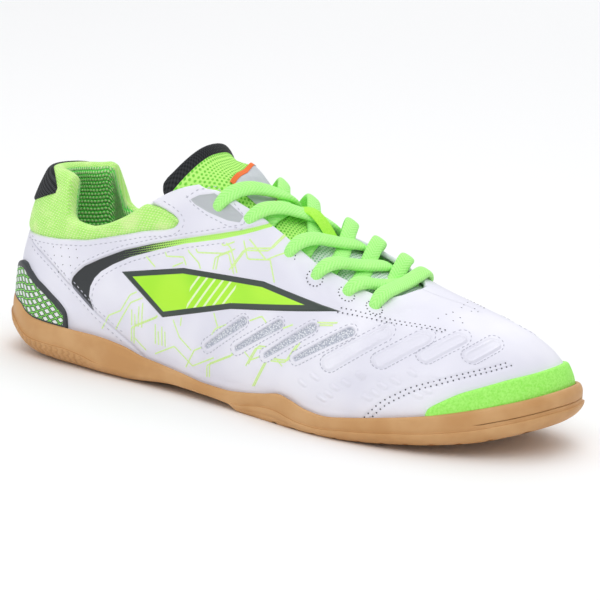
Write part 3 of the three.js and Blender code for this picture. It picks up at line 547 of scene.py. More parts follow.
def sweep(path: Array, up: Array, half: Array, thick: Array, sides: int = 20,
          power: float = 2.6) -> tuple[Array, Array, Array]:
    """Carry a superellipse section along a path.

    Args:
        path: Points of the middle line.
        up: The direction of the section's short axis at each point.
        half: Half width at each point.
        thick: Half thickness at each point.
        sides: Points in a section.
        power: The superellipse's power.

    Returns:
        Points, quads and UV in millimetres along and round the section.
    """
    tangent = np.gradient(path, axis=0)
    tangent /= np.linalg.norm(tangent, axis=1, keepdims=True)
    across = np.cross(tangent, up)
    across /= np.linalg.norm(across, axis=1, keepdims=True)
    over = np.cross(across, tangent)
    a = circle(sides)
    c, s = blunt(np.cos(a), 2 / power), blunt(np.sin(a), 2 / power)
    points = (path[:, None] + across[:, None] * (half[:, None] * c)[..., None]
              + over[:, None] * (thick[:, None] * s)[..., None])
    uv = np.stack(np.broadcast_arrays(lengths(path)[:, None], c * float(np.max(half))), -1)
    return points, grid_faces(len(path), sides, close_cols=True), uv


# Shader nodes


class Value:
    """A shader socket that can be calculated with."""

    def __init__(self, nodes: Nodes, socket: bpy.types.NodeSocket) -> None:
        """Wrap a socket of a node tree."""
        self.nodes, self.socket = nodes, socket

    def _math(self, kind: str, a: object, b: object = 0.0) -> Value:
        """Math node of two operands."""
        return self.nodes.add("ShaderNodeMath", {"operation": kind}, {0: a, 1: b})

    def __add__(self, other: object) -> Value:
        """Sum."""
        return self._math("ADD", self, other)

    def __radd__(self, other: object) -> Value:
        """Sum, reflected."""
        return self._math("ADD", other, self)

    def __sub__(self, other: object) -> Value:
        """Difference."""
        return self._math("SUBTRACT", self, other)

    def __rsub__(self, other: object) -> Value:
        """Difference, reflected."""
        return self._math("SUBTRACT", other, self)

    def __mul__(self, other: object) -> Value:
        """Product."""
        return self._math("MULTIPLY", self, other)

    def __rmul__(self, other: object) -> Value:
        """Product, reflected."""
        return self._math("MULTIPLY", other, self)

    def __truediv__(self, other: object) -> Value:
        """Quotient."""
        return self._math("DIVIDE", self, other)

    def __pow__(self, other: object) -> Value:
        """Power."""
        return self._math("POWER", self, other)

    def sine(self) -> Value:
        """Sine."""
        return self._math("SINE", self)

    def size(self) -> Value:
        """Absolute value."""
        return self._math("ABSOLUTE", self)

    def part(self) -> Value:
        """Fractional part."""
        return self._math("FRACT", self)

    def whole(self) -> Value:
        """Whole part."""
        return self._math("FLOOR", self)

    def most(self, other: object) -> Value:
        """Larger of two."""
        return self._math("MAXIMUM", self, other)

    def ramp(self, low: float, high: float) -> Value:
        """0 at low and 1 at high, with smooth ends."""
        return self.nodes.add("ShaderNodeMapRange", {"interpolation_type": "SMOOTHSTEP"},
                              {0: self, 1: low, 2: high, 3: 0.0, 4: 1.0})


class Nodes:
    """Writes one material's node tree."""

    def __init__(self, name: str) -> None:
        """Start a material with a bare output."""
        self.material = bpy.data.materials.new(name)
        self.material.use_nodes = True
        self.tree = self.material.node_tree
        self.tree.nodes.clear()

    def add(self, kind: str, settings: dict | None = None, inputs: dict | None = None,
            out: int | str = 0) -> Value:
        """Add a node.

        Args:
            kind: Node type.
            settings: Attributes, set before the sockets.
            inputs: Socket values or links, by index or name.
            out: Which output to hand back.

        Returns:
            The wrapped output.
        """
        node = self.tree.nodes.new(kind)
        for key, value in (settings or {}).items():
            setattr(node, key, value)
        for key, value in (inputs or {}).items():
            socket = node.inputs[key]
            if isinstance(value, Value):
                self.tree.links.new(value.socket, socket)
            elif isinstance(value, tuple) and socket.type == "RGBA":
                socket.default_value = (*value, 1)[:4]
            else:
                socket.default_value = value
        return Value(self, node.outputs[out])

    def layer(self, name: str) -> Value:
        """A value stored per vertex."""
        return self.add("ShaderNodeAttribute", {"attribute_name": name}, out="Fac")

    def object_point(self) -> Value:
        """Object coordinates in millimetres."""
        raw = self.add("ShaderNodeTexCoord", out="Object")
        return self.add("ShaderNodeVectorMath", {"operation": "SCALE"}, {0: raw, "Scale": 1000.0})

    def axes(self, vector: Value) -> tuple[Value, Value, Value]:
        """The three parts of a vector."""
        first = self.add("ShaderNodeSeparateXYZ", inputs={0: vector})
        node = first.socket.node
        return first, Value(self, node.outputs[1]), Value(self, node.outputs[2])

    def uv_axes(self) -> tuple[Value, Value]:
        """The two coordinates of the piece's own UV map, in millimetres."""
        u, v, _ = self.axes(self.add("ShaderNodeTexCoord", out="UV"))
        return u, v

    def noise(self, vector: Value, scale: float, detail: float = 2.0) -> Value:
        """Noise from 0 to 1; scale is in turns for each millimetre."""
        return self.add("ShaderNodeTexNoise", {}, {"Vector": vector, "Scale": scale, "Detail": detail})

    def mix(self, share: Value | float, a: object, b: object) -> Value:
        """Colour a where share is 0 and b where it is 1."""
        return self.add("ShaderNodeMix", {"data_type": "RGBA"}, {0: share, 6: a, 7: b}, out=2)

    def finish(self, bump: Value | None = None, height: float = 0.1, **sockets: object) -> Material:
        """Close the material with a principled shader.

        Args:
            bump: Relief from 0 to 1.
            height: Relief in millimetres.
            sockets: Values or links, by socket name with underscores.

        Returns:
            The material.
        """
        inputs = {key.replace("_", " "): value for key, value in sockets.items()}
        if bump is not None:
            inputs["Normal"] = self.add("ShaderNodeBump", {}, {
                "Height": bump, "Distance": height / 1000, "Strength": 1.0})
        shader = self.add("ShaderNodeBsdfPrincipled", {}, inputs)
        self.add_output(shader)
        return self.material

    def add_output(self, shader: Value) -> None:
        """Link the shader to the surface."""
        out = self.tree.nodes.new("ShaderNodeOutputMaterial")
        self.tree.links.new(shader.socket, out.inputs["Surface"])


def rgb(code: int) -> tuple[float, float, float]:
    """Linear colour of an sRGB hex code."""
    parts = [((code >> s) & 255) / 255 for s in (16, 8, 0)]
    return tuple(p / 12.92 if p <= 0.04045 else ((p + 0.055) / 1.055) ** 2.4 for p in parts)


def cell_distance(u: Value, v: Value, wide: float, high: float) -> Value:
    """Distance from the middle of the nearest of staggered cells, as a share of a cell."""
    row = v / high
    stagger = (row.whole() * 0.5).part()
    a, b = (u / wide + stagger).part() - 0.5, row.part() - 0.5
    return (a * a + b * b) ** 0.5


class Finish:
    """What a piece is made of; the material is made once."""

    name: str = "finish"

    def make(self, n: Nodes) -> Material:
        """Write the nodes."""
        raise NotImplementedError

    def material(self) -> Material:
        """The material, made at the first call."""
        name = f"{self.name}_finish"
        return bpy.data.materials.get(name) or self.make(Nodes(name))


@dataclass(frozen=True)
class Hide(Finish):
    """Smooth white synthetic hide with grey insert, mesh vents, a dark to lime band, and painted shade along
    its seam groove and round its vents, embossed marks and ovals.
    """

    name: str = "white_hide"
    base: int = 0xEEEDF6
    shade: int = 0xE2E1ED
    insert: int = 0xB9BDC1
    dark: int = 0x2E3133
    lime: int = 0xBDF86E
    mesh: int = 0xF2F4F8
    mesh_gap: int = 0xB4B8C6
    # painted shade colour for the grooves and outlines
    painted_shade_colour: int = 0xB9B9C8

    def make(self, n: Nodes) -> Material:
        """Write the nodes."""
        p = n.object_point()
        tone = n.noise(p, 0.03, 2.0)
        colour = n.mix(tone.ramp(0.35, 0.7), rgb(self.shade), rgb(self.base))
        # band: dark at the heel end, dots of dark shrinking over lime towards the throat
        band = 1 - n.layer("band").ramp(-0.15, 0.15)
        way = n.layer("band_run")
        x, _, z = n.axes(p)
        u, v = (x + z * 0.5) * 0.95, (z - x * 0.3) * 0.95
        odd = (v.whole() * 0.5).part()
        dots = ((u + odd).part() - 0.5) ** 2.0 + (v.part() - 0.5) ** 2.0
        limit = way.ramp(0.62, 0.08) * 0.55
        ink = 1 - (dots - limit).ramp(-0.03, 0.03)
        colour = n.mix(band, colour, n.mix(ink, rgb(self.lime), rgb(self.dark)))
        patch = 1 - n.layer("patch").ramp(-0.15, 0.15)
        colour = n.mix(patch, colour, rgb(self.insert))
        vent = 1 - n.layer("vent").ramp(-0.25, 0.1)
        weave = n.add("ShaderNodeTexVoronoi", {"feature": "F1"}, {"Vector": p, "Scale": 1.5})
        colour = n.mix(vent, colour, n.mix(weave.ramp(0.25, 0.62), rgb(self.mesh), rgb(self.mesh_gap)))
        # painted shade: darker along the heel seam's groove and round the vents, embossed marks and ovals
        fold = n.layer("fold").ramp(0.0, 1.0)
        colour = n.mix(fold * 0.55, colour, rgb(self.painted_shade_colour))
        grain = n.noise(p, 1.6, 3.0) * 0.6 + n.noise(p, 0.35, 2.0) * 0.4
        relief = grain * (1 - vent) + weave * vent * 5.0
        rough = 0.42 + vent * 0.35 + tone * 0.08 - patch * 0.12
        return n.finish(relief, 0.05, Base_Color=colour, Roughness=rough, Specular_IOR_Level=0.45,
                        Coat_Weight=0.08, Coat_Roughness=0.35)


@dataclass(frozen=True)
class Knit(Finish):
    """Fine knit outside and coarse bubble mesh where the layer named inner is 1."""

    name: str = "lime_knit"
    # light and deep: painted light and shade of the fine knit's ribs
    light: int = 0xE0FFAA
    deep: int = 0xB4F676
    yellow: int = 0xEEFFB6
    inner_painted_highlight: int = 0xD4FFB0
    inner_painted_shade: int = 0x66F05C

    def make(self, n: Nodes) -> Material:
        """Write the nodes."""
        u, v = n.uv_axes()
        inner = n.layer("inner").ramp(0.4, 0.6)
        # coarse mesh: staggered bubbles 2.3 mm wide and 2 mm high, painted lighter on their tops as highlight
        # and darker between them as shade
        bubble = 1 - cell_distance(u, v, 2.3, 2.0).ramp(0.12, 0.56)
        # fine knit: slanted ribs crossed by short stitches, painted lighter on their crests and darker in
        # their troughs as light and shade
        rib = ((u * 3.4 + v * 2.0).sine() * 0.5 + 0.5) * ((v * 5.2 - u * 1.1).sine() * 0.5 + 0.5)
        p = n.object_point()
        cloud = n.noise(p, 0.12, 2.0)
        fine = n.mix(rib.ramp(0.0, 0.7), rgb(self.deep), rgb(self.light))
        fine = n.mix(cloud.ramp(0.4, 0.75) * 0.5, fine, rgb(self.yellow))
        coarse = n.mix(bubble.ramp(0.0, 0.6), rgb(self.inner_painted_shade), rgb(self.inner_painted_highlight))
        colour = n.mix(inner, fine, coarse)
        relief = rib * 0.35 * (1 - inner) + bubble * inner
        return n.finish(relief, 0.7, Base_Color=colour, Roughness=0.85,
                        Specular_IOR_Level=0.25, Sheen_Weight=0.15, Sheen_Roughness=0.4)


@dataclass(frozen=True)
class TongueMesh(Finish):
    """Open mesh of small cells over foam, with a dark knit roll at the free end."""

    name: str = "tongue_mesh"
    lime: int = 0xBEFC7E
    lime_hole_shade: int = 0x76E040
    white: int = 0xE2EEE8
    white_hole_shade: int = 0x9CD8AC
    roll: int = 0x3A3C3F
    roll_painted_shade: int = 0x191A1C

    def make(self, n: Nodes) -> Material:
        """Write the nodes."""
        u, v = n.uv_axes()
        hole = 1 - cell_distance(u, v, 1.7, 1.5).ramp(0.12, 0.38)
        dark = n.layer("dark").ramp(0.45, 0.55)
        pale = n.layer("pale").ramp(0.3, 0.7)
        # the open cells are painted darker than the strands, as shade inside them
        lime = n.mix(hole, rgb(self.lime), rgb(self.lime_hole_shade))
        white = n.mix(hole, rgb(self.white), rgb(self.white_hole_shade))
        colour = n.mix(pale, lime, white)
        # the roll's knit is painted lighter on its crests and darker between them, as light and shade
        knit = (u * 4.2).sine() * (v * 4.6).sine() * 0.5 + 0.5
        colour = n.mix(dark, colour, n.mix(knit, rgb(self.roll_painted_shade), rgb(self.roll)))
        relief = (1 - hole) * (1 - dark) + knit * dark * 0.5
        return n.finish(relief, 0.45, Base_Color=colour, Roughness=0.88,
                        Specular_IOR_Level=0.2, Sheen_Weight=0.1, Sheen_Roughness=0.4)


@dataclass(frozen=True)
class DarkKnit(Finish):
    """Coarse dark knit."""

    name: str = "dark_knit"
    light: int = 0x4B4D50
    deep: int = 0x17181A

    def make(self, n: Nodes) -> Material:
        """Write the nodes."""
        u, v = n.uv_axes()
        knit = ((u * 3.3).sine() * (v * 3.6).sine()) * 0.5 + 0.5
        # painted lighter on the knit's crests and darker between them, as light and shade
        colour = n.mix(knit.ramp(0.2, 0.9), rgb(self.deep), rgb(self.light))
        return n.finish(knit, 0.5, Base_Color=colour, Roughness=0.85, Specular_IOR_Level=0.3)


@dataclass(frozen=True)
class Braid(Finish):
    """Flat braided lace: slanted plaits that meet in the middle."""

    name: str = "lace_braid"
    light: int = 0xBCFF96
    deep: int = 0xA4F880
    worn: int = 0xC8FF98

    def make(self, n: Nodes) -> Material:
        """Write the nodes."""
        u, v = n.uv_axes()
        plait = ((u * 3.9 + v.size() * 3.4).sine() * 0.5 + 0.5)
        cross = (v * 6.0).sine() * 0.5 + 0.5
        relief = plait * 0.7 + cross * 0.3
        p = n.object_point()
        # plaits painted lighter on their crests and darker between them, as light and shade
        colour = n.mix(relief.ramp(0.1, 0.8), rgb(self.deep), rgb(self.light))
        colour = n.mix(n.noise(p, 0.2, 2.0).ramp(0.5, 0.8) * 0.3, colour, rgb(self.worn))
        return n.finish(relief, 0.14, Base_Color=colour, Roughness=0.8,
                        Specular_IOR_Level=0.25, Sheen_Weight=0.15, Sheen_Roughness=0.4)


@dataclass(frozen=True)
class Gum(Finish):
    """Gum rubber, a little mottled, with painted shade in its grooves and its slit."""

    name: str = "gum_rubber"
    light: int = 0xD3A673
    shade: int = 0xC4925C
    # painted shade of the grooves; slit is the darker painted shade inside the slit
    deep: int = 0xA9743C
    slit: int = 0x6B4218

    def make(self, n: Nodes) -> Material:
        """Write the nodes."""
        p = n.object_point()
        cloud = n.noise(p, 0.05, 3.0)
        colour = n.mix(cloud.ramp(0.3, 0.75), rgb(self.shade), rgb(self.light))
        # grooves and the slit are painted darker, as shade
        groove = n.layer("groove").ramp(0.15, 1.0)
        colour = n.mix(groove, colour, rgb(self.deep))
        slit = n.layer("slit").ramp(0.5, 0.9)
        colour = n.mix(slit, colour, rgb(self.slit))
        grain = n.noise(p, 2.2, 2.0)
        return n.finish(grain, 0.04, Base_Color=colour, Roughness=0.5 + grain * 0.12,
                        Specular_IOR_Level=0.4)


@dataclass(frozen=True)
class Plain(Finish):
    """One colour with a fine grain."""

    name: str = "plain"
    colour: int = 0xFFFFFF
    second: int = 0xFFFFFF
    rough: float = 0.5
    relief: float = 0.05
    grain: float = 1.5
    coat: float = 0.0

    def make(self, n: Nodes) -> Material:
        """Write the nodes."""
        p = n.object_point()
        grain = n.noise(p, self.grain, 3.0)
        colour = n.mix(grain.ramp(0.3, 0.7), rgb(self.colour), rgb(self.second))
        return n.finish(grain, self.relief, Base_Color=colour, Roughness=self.rough,
                        Specular_IOR_Level=0.4, Coat_Weight=self.coat, Coat_Roughness=0.25)


@dataclass(frozen=True)
class Lattice(Finish):
    """Dark moulded film whose window shows crossing lime and dark strands over white."""

    name: str = "heel_lattice"
    frame: int = 0x3B3E41
    ground: int = 0xE9EEEC
    dark: int = 0x26362E
    lime: int = 0x8DEB62

    def make(self, n: Nodes) -> Material:
        """Write the nodes."""
        u, v = n.uv_axes()
        window = 1 - n.layer("frame").ramp(-0.2, 0.2)
        one, two = (u + v * 1.25) / 5.6, (u - v * 1.9) / 6.4

        def strand(line: Value, shift: float, width: float) -> Value:
            """Stripes of one slant, as a share of their spacing."""
            return 1 - ((line + shift).part() - 0.5).size().ramp(width * 0.7, width)

        dark = strand(one, 0.0, 0.24).most(strand(two, 0.0, 0.22))
        lime = strand(one, 0.0, 0.07).most(strand(two, 0.0, 0.07)).most(strand(one, 0.22, 0.035))
        colour = n.mix(dark, rgb(self.ground), rgb(self.dark))
        colour = n.mix(lime, colour, rgb(self.lime))
        colour = n.mix(window, rgb(self.frame), colour)
        relief = (dark * 0.6 + lime * 0.4) * window + (1 - window)
        return n.finish(relief, 0.5, Base_Color=colour, Roughness=0.45, Specular_IOR_Level=0.4)


@dataclass(frozen=True)
class Film(Finish):
    """Glossy film panel: dark border, lime inside, pale slanting lines."""

    name: str = "film_panel"
    border: float = 2.5
    dark: int = 0x35403A
    lime: int = 0xB6F430
    lime_deep: int = 0x9AE81A
    stripe: int = 0xE9FBC4

    def make(self, n: Nodes) -> Material:
        """Write the nodes."""
        edge = n.layer("edge")
        p = n.object_point()
        x, _, z = n.axes(p)
        glow = n.noise(p, 0.03, 1.0)
        lime = n.mix(glow.ramp(0.35, 0.65), rgb(self.lime), rgb(self.lime_deep))
        slant = (x - z * 0.55 + 300.0) / 4.2
        line = 1 - (slant.part() - 0.5).size().ramp(0.1, 0.17)
        zone = n.layer("zone").ramp(0.4, 0.6)
        inside = n.mix(line * zone, lime, rgb(self.stripe))
        colour = n.mix((edge - self.border).ramp(-0.12, 0.12), rgb(self.dark), inside)
        return n.finish(edge.ramp(0.0, 0.8), 0.25, Base_Color=colour, Roughness=0.3,
                        Specular_IOR_Level=0.5, Coat_Weight=0.2, Coat_Roughness=0.2)


HIDE = Hide()
KNIT = Knit()
TONGUE_MESH = TongueMesh()
DARK_KNIT = DarkKnit()
BRAID = Braid()
GUM = Gum()
LATTICE = Lattice()
FILM = Film()
PRINT = Plain("lime_print", 0xE0F9AC, 0xD4F594, 0.4, 0.01)
THREAD = Plain("grey_thread", 0xC9C9D4, 0xB4B4C2, 0.7, 0.02)
HOLE = Plain("pinhole", 0x54545E, 0x44444C, 0.9, 0.01)
GUARD = Plain("guard_rubber", 0xB0FC76, 0x96F058, 0.6, 0.35, 1.1)
LABEL = Plain("grey_label", 0xB8BDC4, 0xC6CAD0, 0.3, 0.01, 0.2, 0.3)
ORANGE = Plain("orange_edge", 0xF26A24, 0xF07830, 0.6, 0.05)
TAPE = Plain("keeper_tape", 0xB2F84E, 0xA2F13A, 0.7, 0.12, 1.2)
FOAM = Plain("grey_footbed", 0x8B9096, 0x7C8187, 0.95, 0.15, 1.0)


# The upper


@dataclass
class Shoe:
    """What all sub-assemblies share: where openings, eyelets and panel edges lie."""

    last: Last = field(default_factory=lambda: LAST)
    cuff_front: float = 0.3566
    # along, sewn edge, rim, padding
    cuff_rows: tuple = (
        (0, 0.631, 1, 1), (0.07, 0.636, 1.005, 1), (0.1, 0.641, 1.0, 1), (0.12, 0.645, 0.985, 1),
        (0.132, 0.648, 0.88, 1), (0.142, 0.653, 0.795, 1), (0.158, 0.66, 0.766, 1), (0.187, 0.673, 0.757, 1),
        (0.21, 0.693, 0.775, 0.95), (0.245, 0.727, 0.83, 0.85), (0.27, 0.752, 0.883, 0.75),
        (0.29, 0.773, 0.922, 0.6), (0.311, 0.79, 0.92, 0.5), (0.336, 0.807, 0.9, 0.4),
        (0.3515, 0.832, 0.88, 0.3), (0.3566, 0.862, 0.866, 0.25),
    )
    brim_rows: tuple = ((0.3, 0.935), (0.315, 0.965), (0.33, 0.995), (0.347, 1.022), (0.366, 1.045),
                        (0.387, 1.06), (0.42, 1.06))
    # along, lateral, medial
    throat_rows: tuple = (
        (0.38, 0.203, 0.18), (0.41, 0.19, 0.178), (0.43, 0.184, 0.178), (0.47, 0.184, 0.183),
        (0.53, 0.202, 0.197), (0.57, 0.222, 0.203), (0.61, 0.236, 0.2), (0.66, 0.226, 0.18),
        (0.7, 0.21, 0.16), (0.725, 0.18, 0.13),
        (0.741, 0.12, 0.09), (0.749, 0.03, 0.02),
    )
    eyelet_rows: tuple = (
        (0.411, 0.222, 0.201), (0.466, 0.217, 0.208), (0.553, 0.25, 0.236),
        (0.61, 0.274, 0.255), (0.668, 0.266, 0.238), (0.717, 0.252, 0.215),
    )
    throat_end: float = 0.75
    wall: float = 2.2

    def __post_init__(self) -> None:
        """Build the curves from the tables."""
        a, low, top, pad = columns(self.cuff_rows)
        self.cuff_low, self.cuff_top, self.cuff_pad = Curve(a, low), Curve(a, top), Curve(a, pad)
        self.brim = Curve(*columns(self.brim_rows))
        a, lateral, medial = columns(self.throat_rows)
        self.throat = {-1: Curve(a, lateral), 1: Curve(a, medial)}

    def centre(self, station: Array) -> Array:
        """Line across which the two halves of the vamp meet, on the way to the ridge's end."""
        blend = smooth_step(station, self.throat_end - 0.02, 0.84)
        return blend * self.last.ridge_drift(station) * self.last.ball

    def edge_rise(self, turn: Array, side: int) -> Array:
        """Rise of the white shell's top edge on each rib."""
        last = self.last
        foot_x, _ = last.plan(turn)
        station = foot_x / last.length
        collar = last.rise_at(turn, self.cuff_low(station) * last.collar + 1.5)
        brim = last.rise_at(turn, self.brim(station) * last.collar)
        reach = self.throat[side](station) * last.ball * side
        throat = last.rise_across(turn, reach, side)
        front = last.rise_across(turn, self.centre(station), side)
        top = np.minimum(brim, throat)
        ramp = np.clip((station - 0.2) / 0.1, 0, 1) ** 1.8
        top = collar * (1 - ramp) + top * ramp
        top = np.where(station >= self.throat_end - 0.001, front, np.minimum(top, front))
        return np.where(station > 0.845, 1.0, top)

    def cuff_outline(self) -> Array:
        """Closed side-view outline of the visible knit: the sewn edge, the rounded nose, the rim."""
        x = np.linspace(-12, 93, 36)
        low = np.stack([x, self.cuff_low(x / self.last.length) * self.last.collar], -1)
        nose = [(96, 71), (99.5, 72.4), (101.6, 74.4), (102, 76.2), (100.6, 78), (98, 79.3), (93.5, 80.9),
                (89, 82), (83.5, 83.2), (83.5, 140), (-12, 140)]
        return np.vstack([low, nose])

    def eyelet(self, index: int, side: int) -> tuple[float, float]:
        """Turn and rise of one eyelet."""
        along, lateral, medial = self.eyelet_rows[index]
        turn = self.last.turn_at(along, side)
        y = -lateral * self.last.ball if side < 0 else medial * self.last.ball
        return float(turn), float(self.last.rise_across(turn, y, side))


SHOE = Shoe()

# Panel outlines in the side view, x and z in millimetres
BAND = np.array([
    (62.2, 28.2), (54.7, 33.4), (49.5, 37.1), (48.7, 40.0), (49.2, 42.2), (51.4, 45.0), (54.7, 48.2),
    (62.6, 52.8), (74.6, 58.8), (89.5, 64.2), (104.2, 68.8), (114.4, 71.8), (133.7, 77.4), (151, 83.8),
    (152, 82.6), (135, 75.8), (124.6, 72.2), (106.6, 67.2), (94.1, 62.6), (78.4, 56.3), (69.6, 51.4),
    (63.8, 47.2), (60.8, 43.6), (59.2, 39.6), (59, 35.1), (61.6, 30.0),
])
PATCH = np.array([(105.6, 86.6), (109.4, 89), (116.2, 90.6), (124, 87.4), (132.8, 82.9), (132, 80.1),
                  (126.1, 80.2), (115.9, 82.3), (108.4, 84.8)])
HEEL_SEAM = np.array([(14, 56), (21, 53), (29, 49.5), (38, 44.8), (51, 36.6), (64, 27.5), (78, 20), (92, 13)])
VENTS = (((128, 25.4), (146.2, 40.2)), ((145, 28.1), (166, 42.9)), ((162, 28.7), (183.3, 44.7)),
         ((179.2, 31.1), (200.6, 45.8)))
EMBOSSED = (((196.4, 32.4), (214.8, 47.2)), ((218.6, 37), (231.2, 47.2)), ((236, 41), (244.4, 47.8)),
            ((252.4, 42.2), (257, 46.4)))


@dataclass
class Upper:
    """White shell in two halves: side -1 is the outer side of the foot and 1 the inner."""

    shoe: Shoe = field(default_factory=lambda: SHOE)
    across: int = 430
    up: int = 150
    vent_radius: float = 2.5
    saddle_step: float = 1.2
    band_depth: float = 0.5
    band_start: float = 49.0
    band_length: float = 102.0
    insert_depth: float = 0.5
    cuff_depth: float = 2.4
    known: dict = field(default_factory=dict)

    def trace(self, path: Array, side: int, step: float = 1.5) -> Array:
        """On-surface polyline through side-view points; each is worked out once."""
        path = np.asarray(path, float)
        key = (path.tobytes(), side)
        if key not in self.known:
            fine = resample(path, step)
            turn, rise = self.shoe.last.at(fine[:, 0], fine[:, 1], side)
            self.known[key] = self.shoe.last.point(turn, rise)
        return self.known[key]

    def saddle_line(self) -> Array:
        """Closed side-view outline of the raised saddle."""
        lower = BAND[2:14]
        return np.vstack([[(-20, 56), (14, 56.4), (21, 53), (29, 49.5), (38, 44.8)], lower,
                          [(151, 140), (-20, 140)]])

    def relief(self, points: Array, side: int) -> tuple[Array, dict[str, Array]]:
        """Height over the last at surface points, and the layers that colour them.

        Steps, welts and grooves are smooth steps of the distance to panel outlines in the side
        view and to traces on the surface.

        Args:
            points: Points of the last's surface.
            side: Which half they belong to.

        Returns:
            The height and the layers.
        """
        view = points[..., [0, 2]]
        saddle = region_distance(view, self.saddle_line())
        band = region_distance(view, BAND)
        patch = region_distance(view, PATCH)
        cuff = region_distance(view, self.shoe.cuff_outline())
        band_run = np.clip((view[..., 0] - self.band_start) / self.band_length, 0, 1)
        layers = {"band": band, "patch": patch, "band_run": band_run}
        height = self.saddle_step * (1 - smooth_step(saddle, -0.7, 0.1))
        height -= self.band_depth * (1 - smooth_step(band, -0.6, 0.2)) * smooth_step(saddle, 0, 0.6)
        height -= self.insert_depth * (1 - smooth_step(patch, -0.5, 0.3))
        height -= self.cuff_depth * (1 - smooth_step(cuff, -1.3, 0.1))
        seam, _ = path_distance(points, self.trace(HEEL_SEAM, side), 6.0)
        groove = bell(seam, 0.0, 0.45)
        height -= 0.5 * groove
        vent = np.full(points.shape[:-1], 9.0)
        # Where the hide gets painted shade: along the heel seam's groove and round the vents, embossed marks
        # and ovals.
        fold = groove * 0.9
        for low, high in VENTS:
            d, run = path_distance(points, self.trace([low, high], side), 9.0)
            edge = d - (1.15 + run * 0.045)
            vent = np.minimum(vent, edge)
            height -= 0.8 * (1 - smooth_step(edge, -0.6, 0.1))
            height += 0.3 * bell(edge, 0.8, 0.6)
            fold = np.maximum(fold, 1.1 * bell(edge, 0.0, 0.28))
        layers["vent"] = vent
        for low, high in EMBOSSED:
            d, _ = path_distance(points, self.trace([low, high], side), 9.0)
            edge = d - self.vent_radius
            height += 0.4 * bell(edge, -0.2, 0.5)
            height -= 0.3 * bell(edge, 0.9, 0.5)
            fold = np.maximum(fold, 0.3 * bell(edge, 0.7, 0.45))
        for cx, cz in self.ovals():
            middle = self.trace([(cx - 1.3, cz + 0.5), (cx + 1.3, cz - 0.5)], side, 1.0)
            d, _ = path_distance(points, middle, 6.0)
            height += 0.3 * (1 - smooth_step(d, 0.3, 1.1))
            height -= 0.15 * bell(d, 1.3, 0.4)
            fold = np.maximum(fold, 0.3 * bell(d, 1.2, 0.35))
        for path in self.toe_seams(side):
            d, _ = path_distance(points, path, 6.0)
            height -= 0.3 * bell(d, 0.0, 0.7)
        for path, wide, deep in self.creases(side):
            d, _ = path_distance(points, path, wide * 3)
            height -= deep * bell(d, 0.0, wide)
        layers["fold"] = np.clip(fold, 0, 1)
        return height, layers

    def creases(self, side: int) -> list[tuple[Array, float, float]]:
        """Soft troughs and ridges of the hide: a trace, its half width and its depth."""
        lines = [
            ([(119, 84.6), (124, 82.6), (129, 82.4)], 0.9, 0.3),
            ([(116, 87.4), (123, 85.6), (128, 84.6)], 0.8, 0.3),
            ([(146, 79), (156, 68), (166, 62)], 4.0, -0.5), ([(166, 66), (174, 60), (184, 55)], 2.6, 0.5),
            ([(182, 60), (190, 54), (200, 50)], 2.4, 0.45), ([(24, 49), (30, 38), (50, 26)], 4.5, -0.6),
            ([(52, 30), (66, 22), (84, 18)], 4.0, 0.5), ([(200, 40), (212, 52), (218, 56)], 3.0, 0.4),
            ([(222, 34), (232, 44), (236, 50)], 3.0, 0.35), ([(208, 30), (226, 33), (240, 34)], 2.5, -0.3),
        ]
        return [(self.trace(path, side), wide, deep) for path, wide, deep in lines]

    def ovals(self) -> list[tuple[float, float]]:
        """Centres of the small raised ovals low on the forefoot, in the side view."""
        group = ((0, 0), (6.1, 4.0), (16.6, 1.6), (13.9, -2.0), (10.5, -4.5))
        return [(184.4 + 21.6 * i + dx, 21.4 + 4.4 * i + dz) for i in range(3) for dx, dz in group]

    def toe_seams(self, side: int) -> list[Array]:
        """Traces of the toe cap's double seam on one half."""
        path = np.array([(218.4, 11.6), (222.2, 16.2), (225.8, 19.9), (231.4, 23.9), (235.2, 26.5),
                         (242.7, 30), (249.6, 32.8), (256, 35.3), (262.6, 37.6), (267, 39.4)])
        return [self.trace(rounded(path + shift, 1.5), side) for shift in ((0, 0), (-2.2, 0.9))]

    def grid(self, side: int) -> tuple[Array, Array]:
        """Turn and rise of every grid point of one half."""
        last = self.shoe.last
        fine = np.linspace(0, 0.5, 4000)
        x, y = last.plan(fine)
        run = np.concatenate([[0], np.cumsum(np.hypot(np.diff(x), np.diff(y)))])
        turn = np.interp(np.linspace(0, run[-1], self.across), run, fine)
        turn = turn if side < 0 else 1 - turn
        station = last.plan(turn)[0] / last.length
        low = last.rise_at(turn, last.rim(station) - 2.0)
        high = self.shoe.edge_rise(turn, side)
        t = np.linspace(0, 1, self.up)[:, None]
        return np.broadcast_to(turn, (self.up, self.across)), low + (high - low) * t

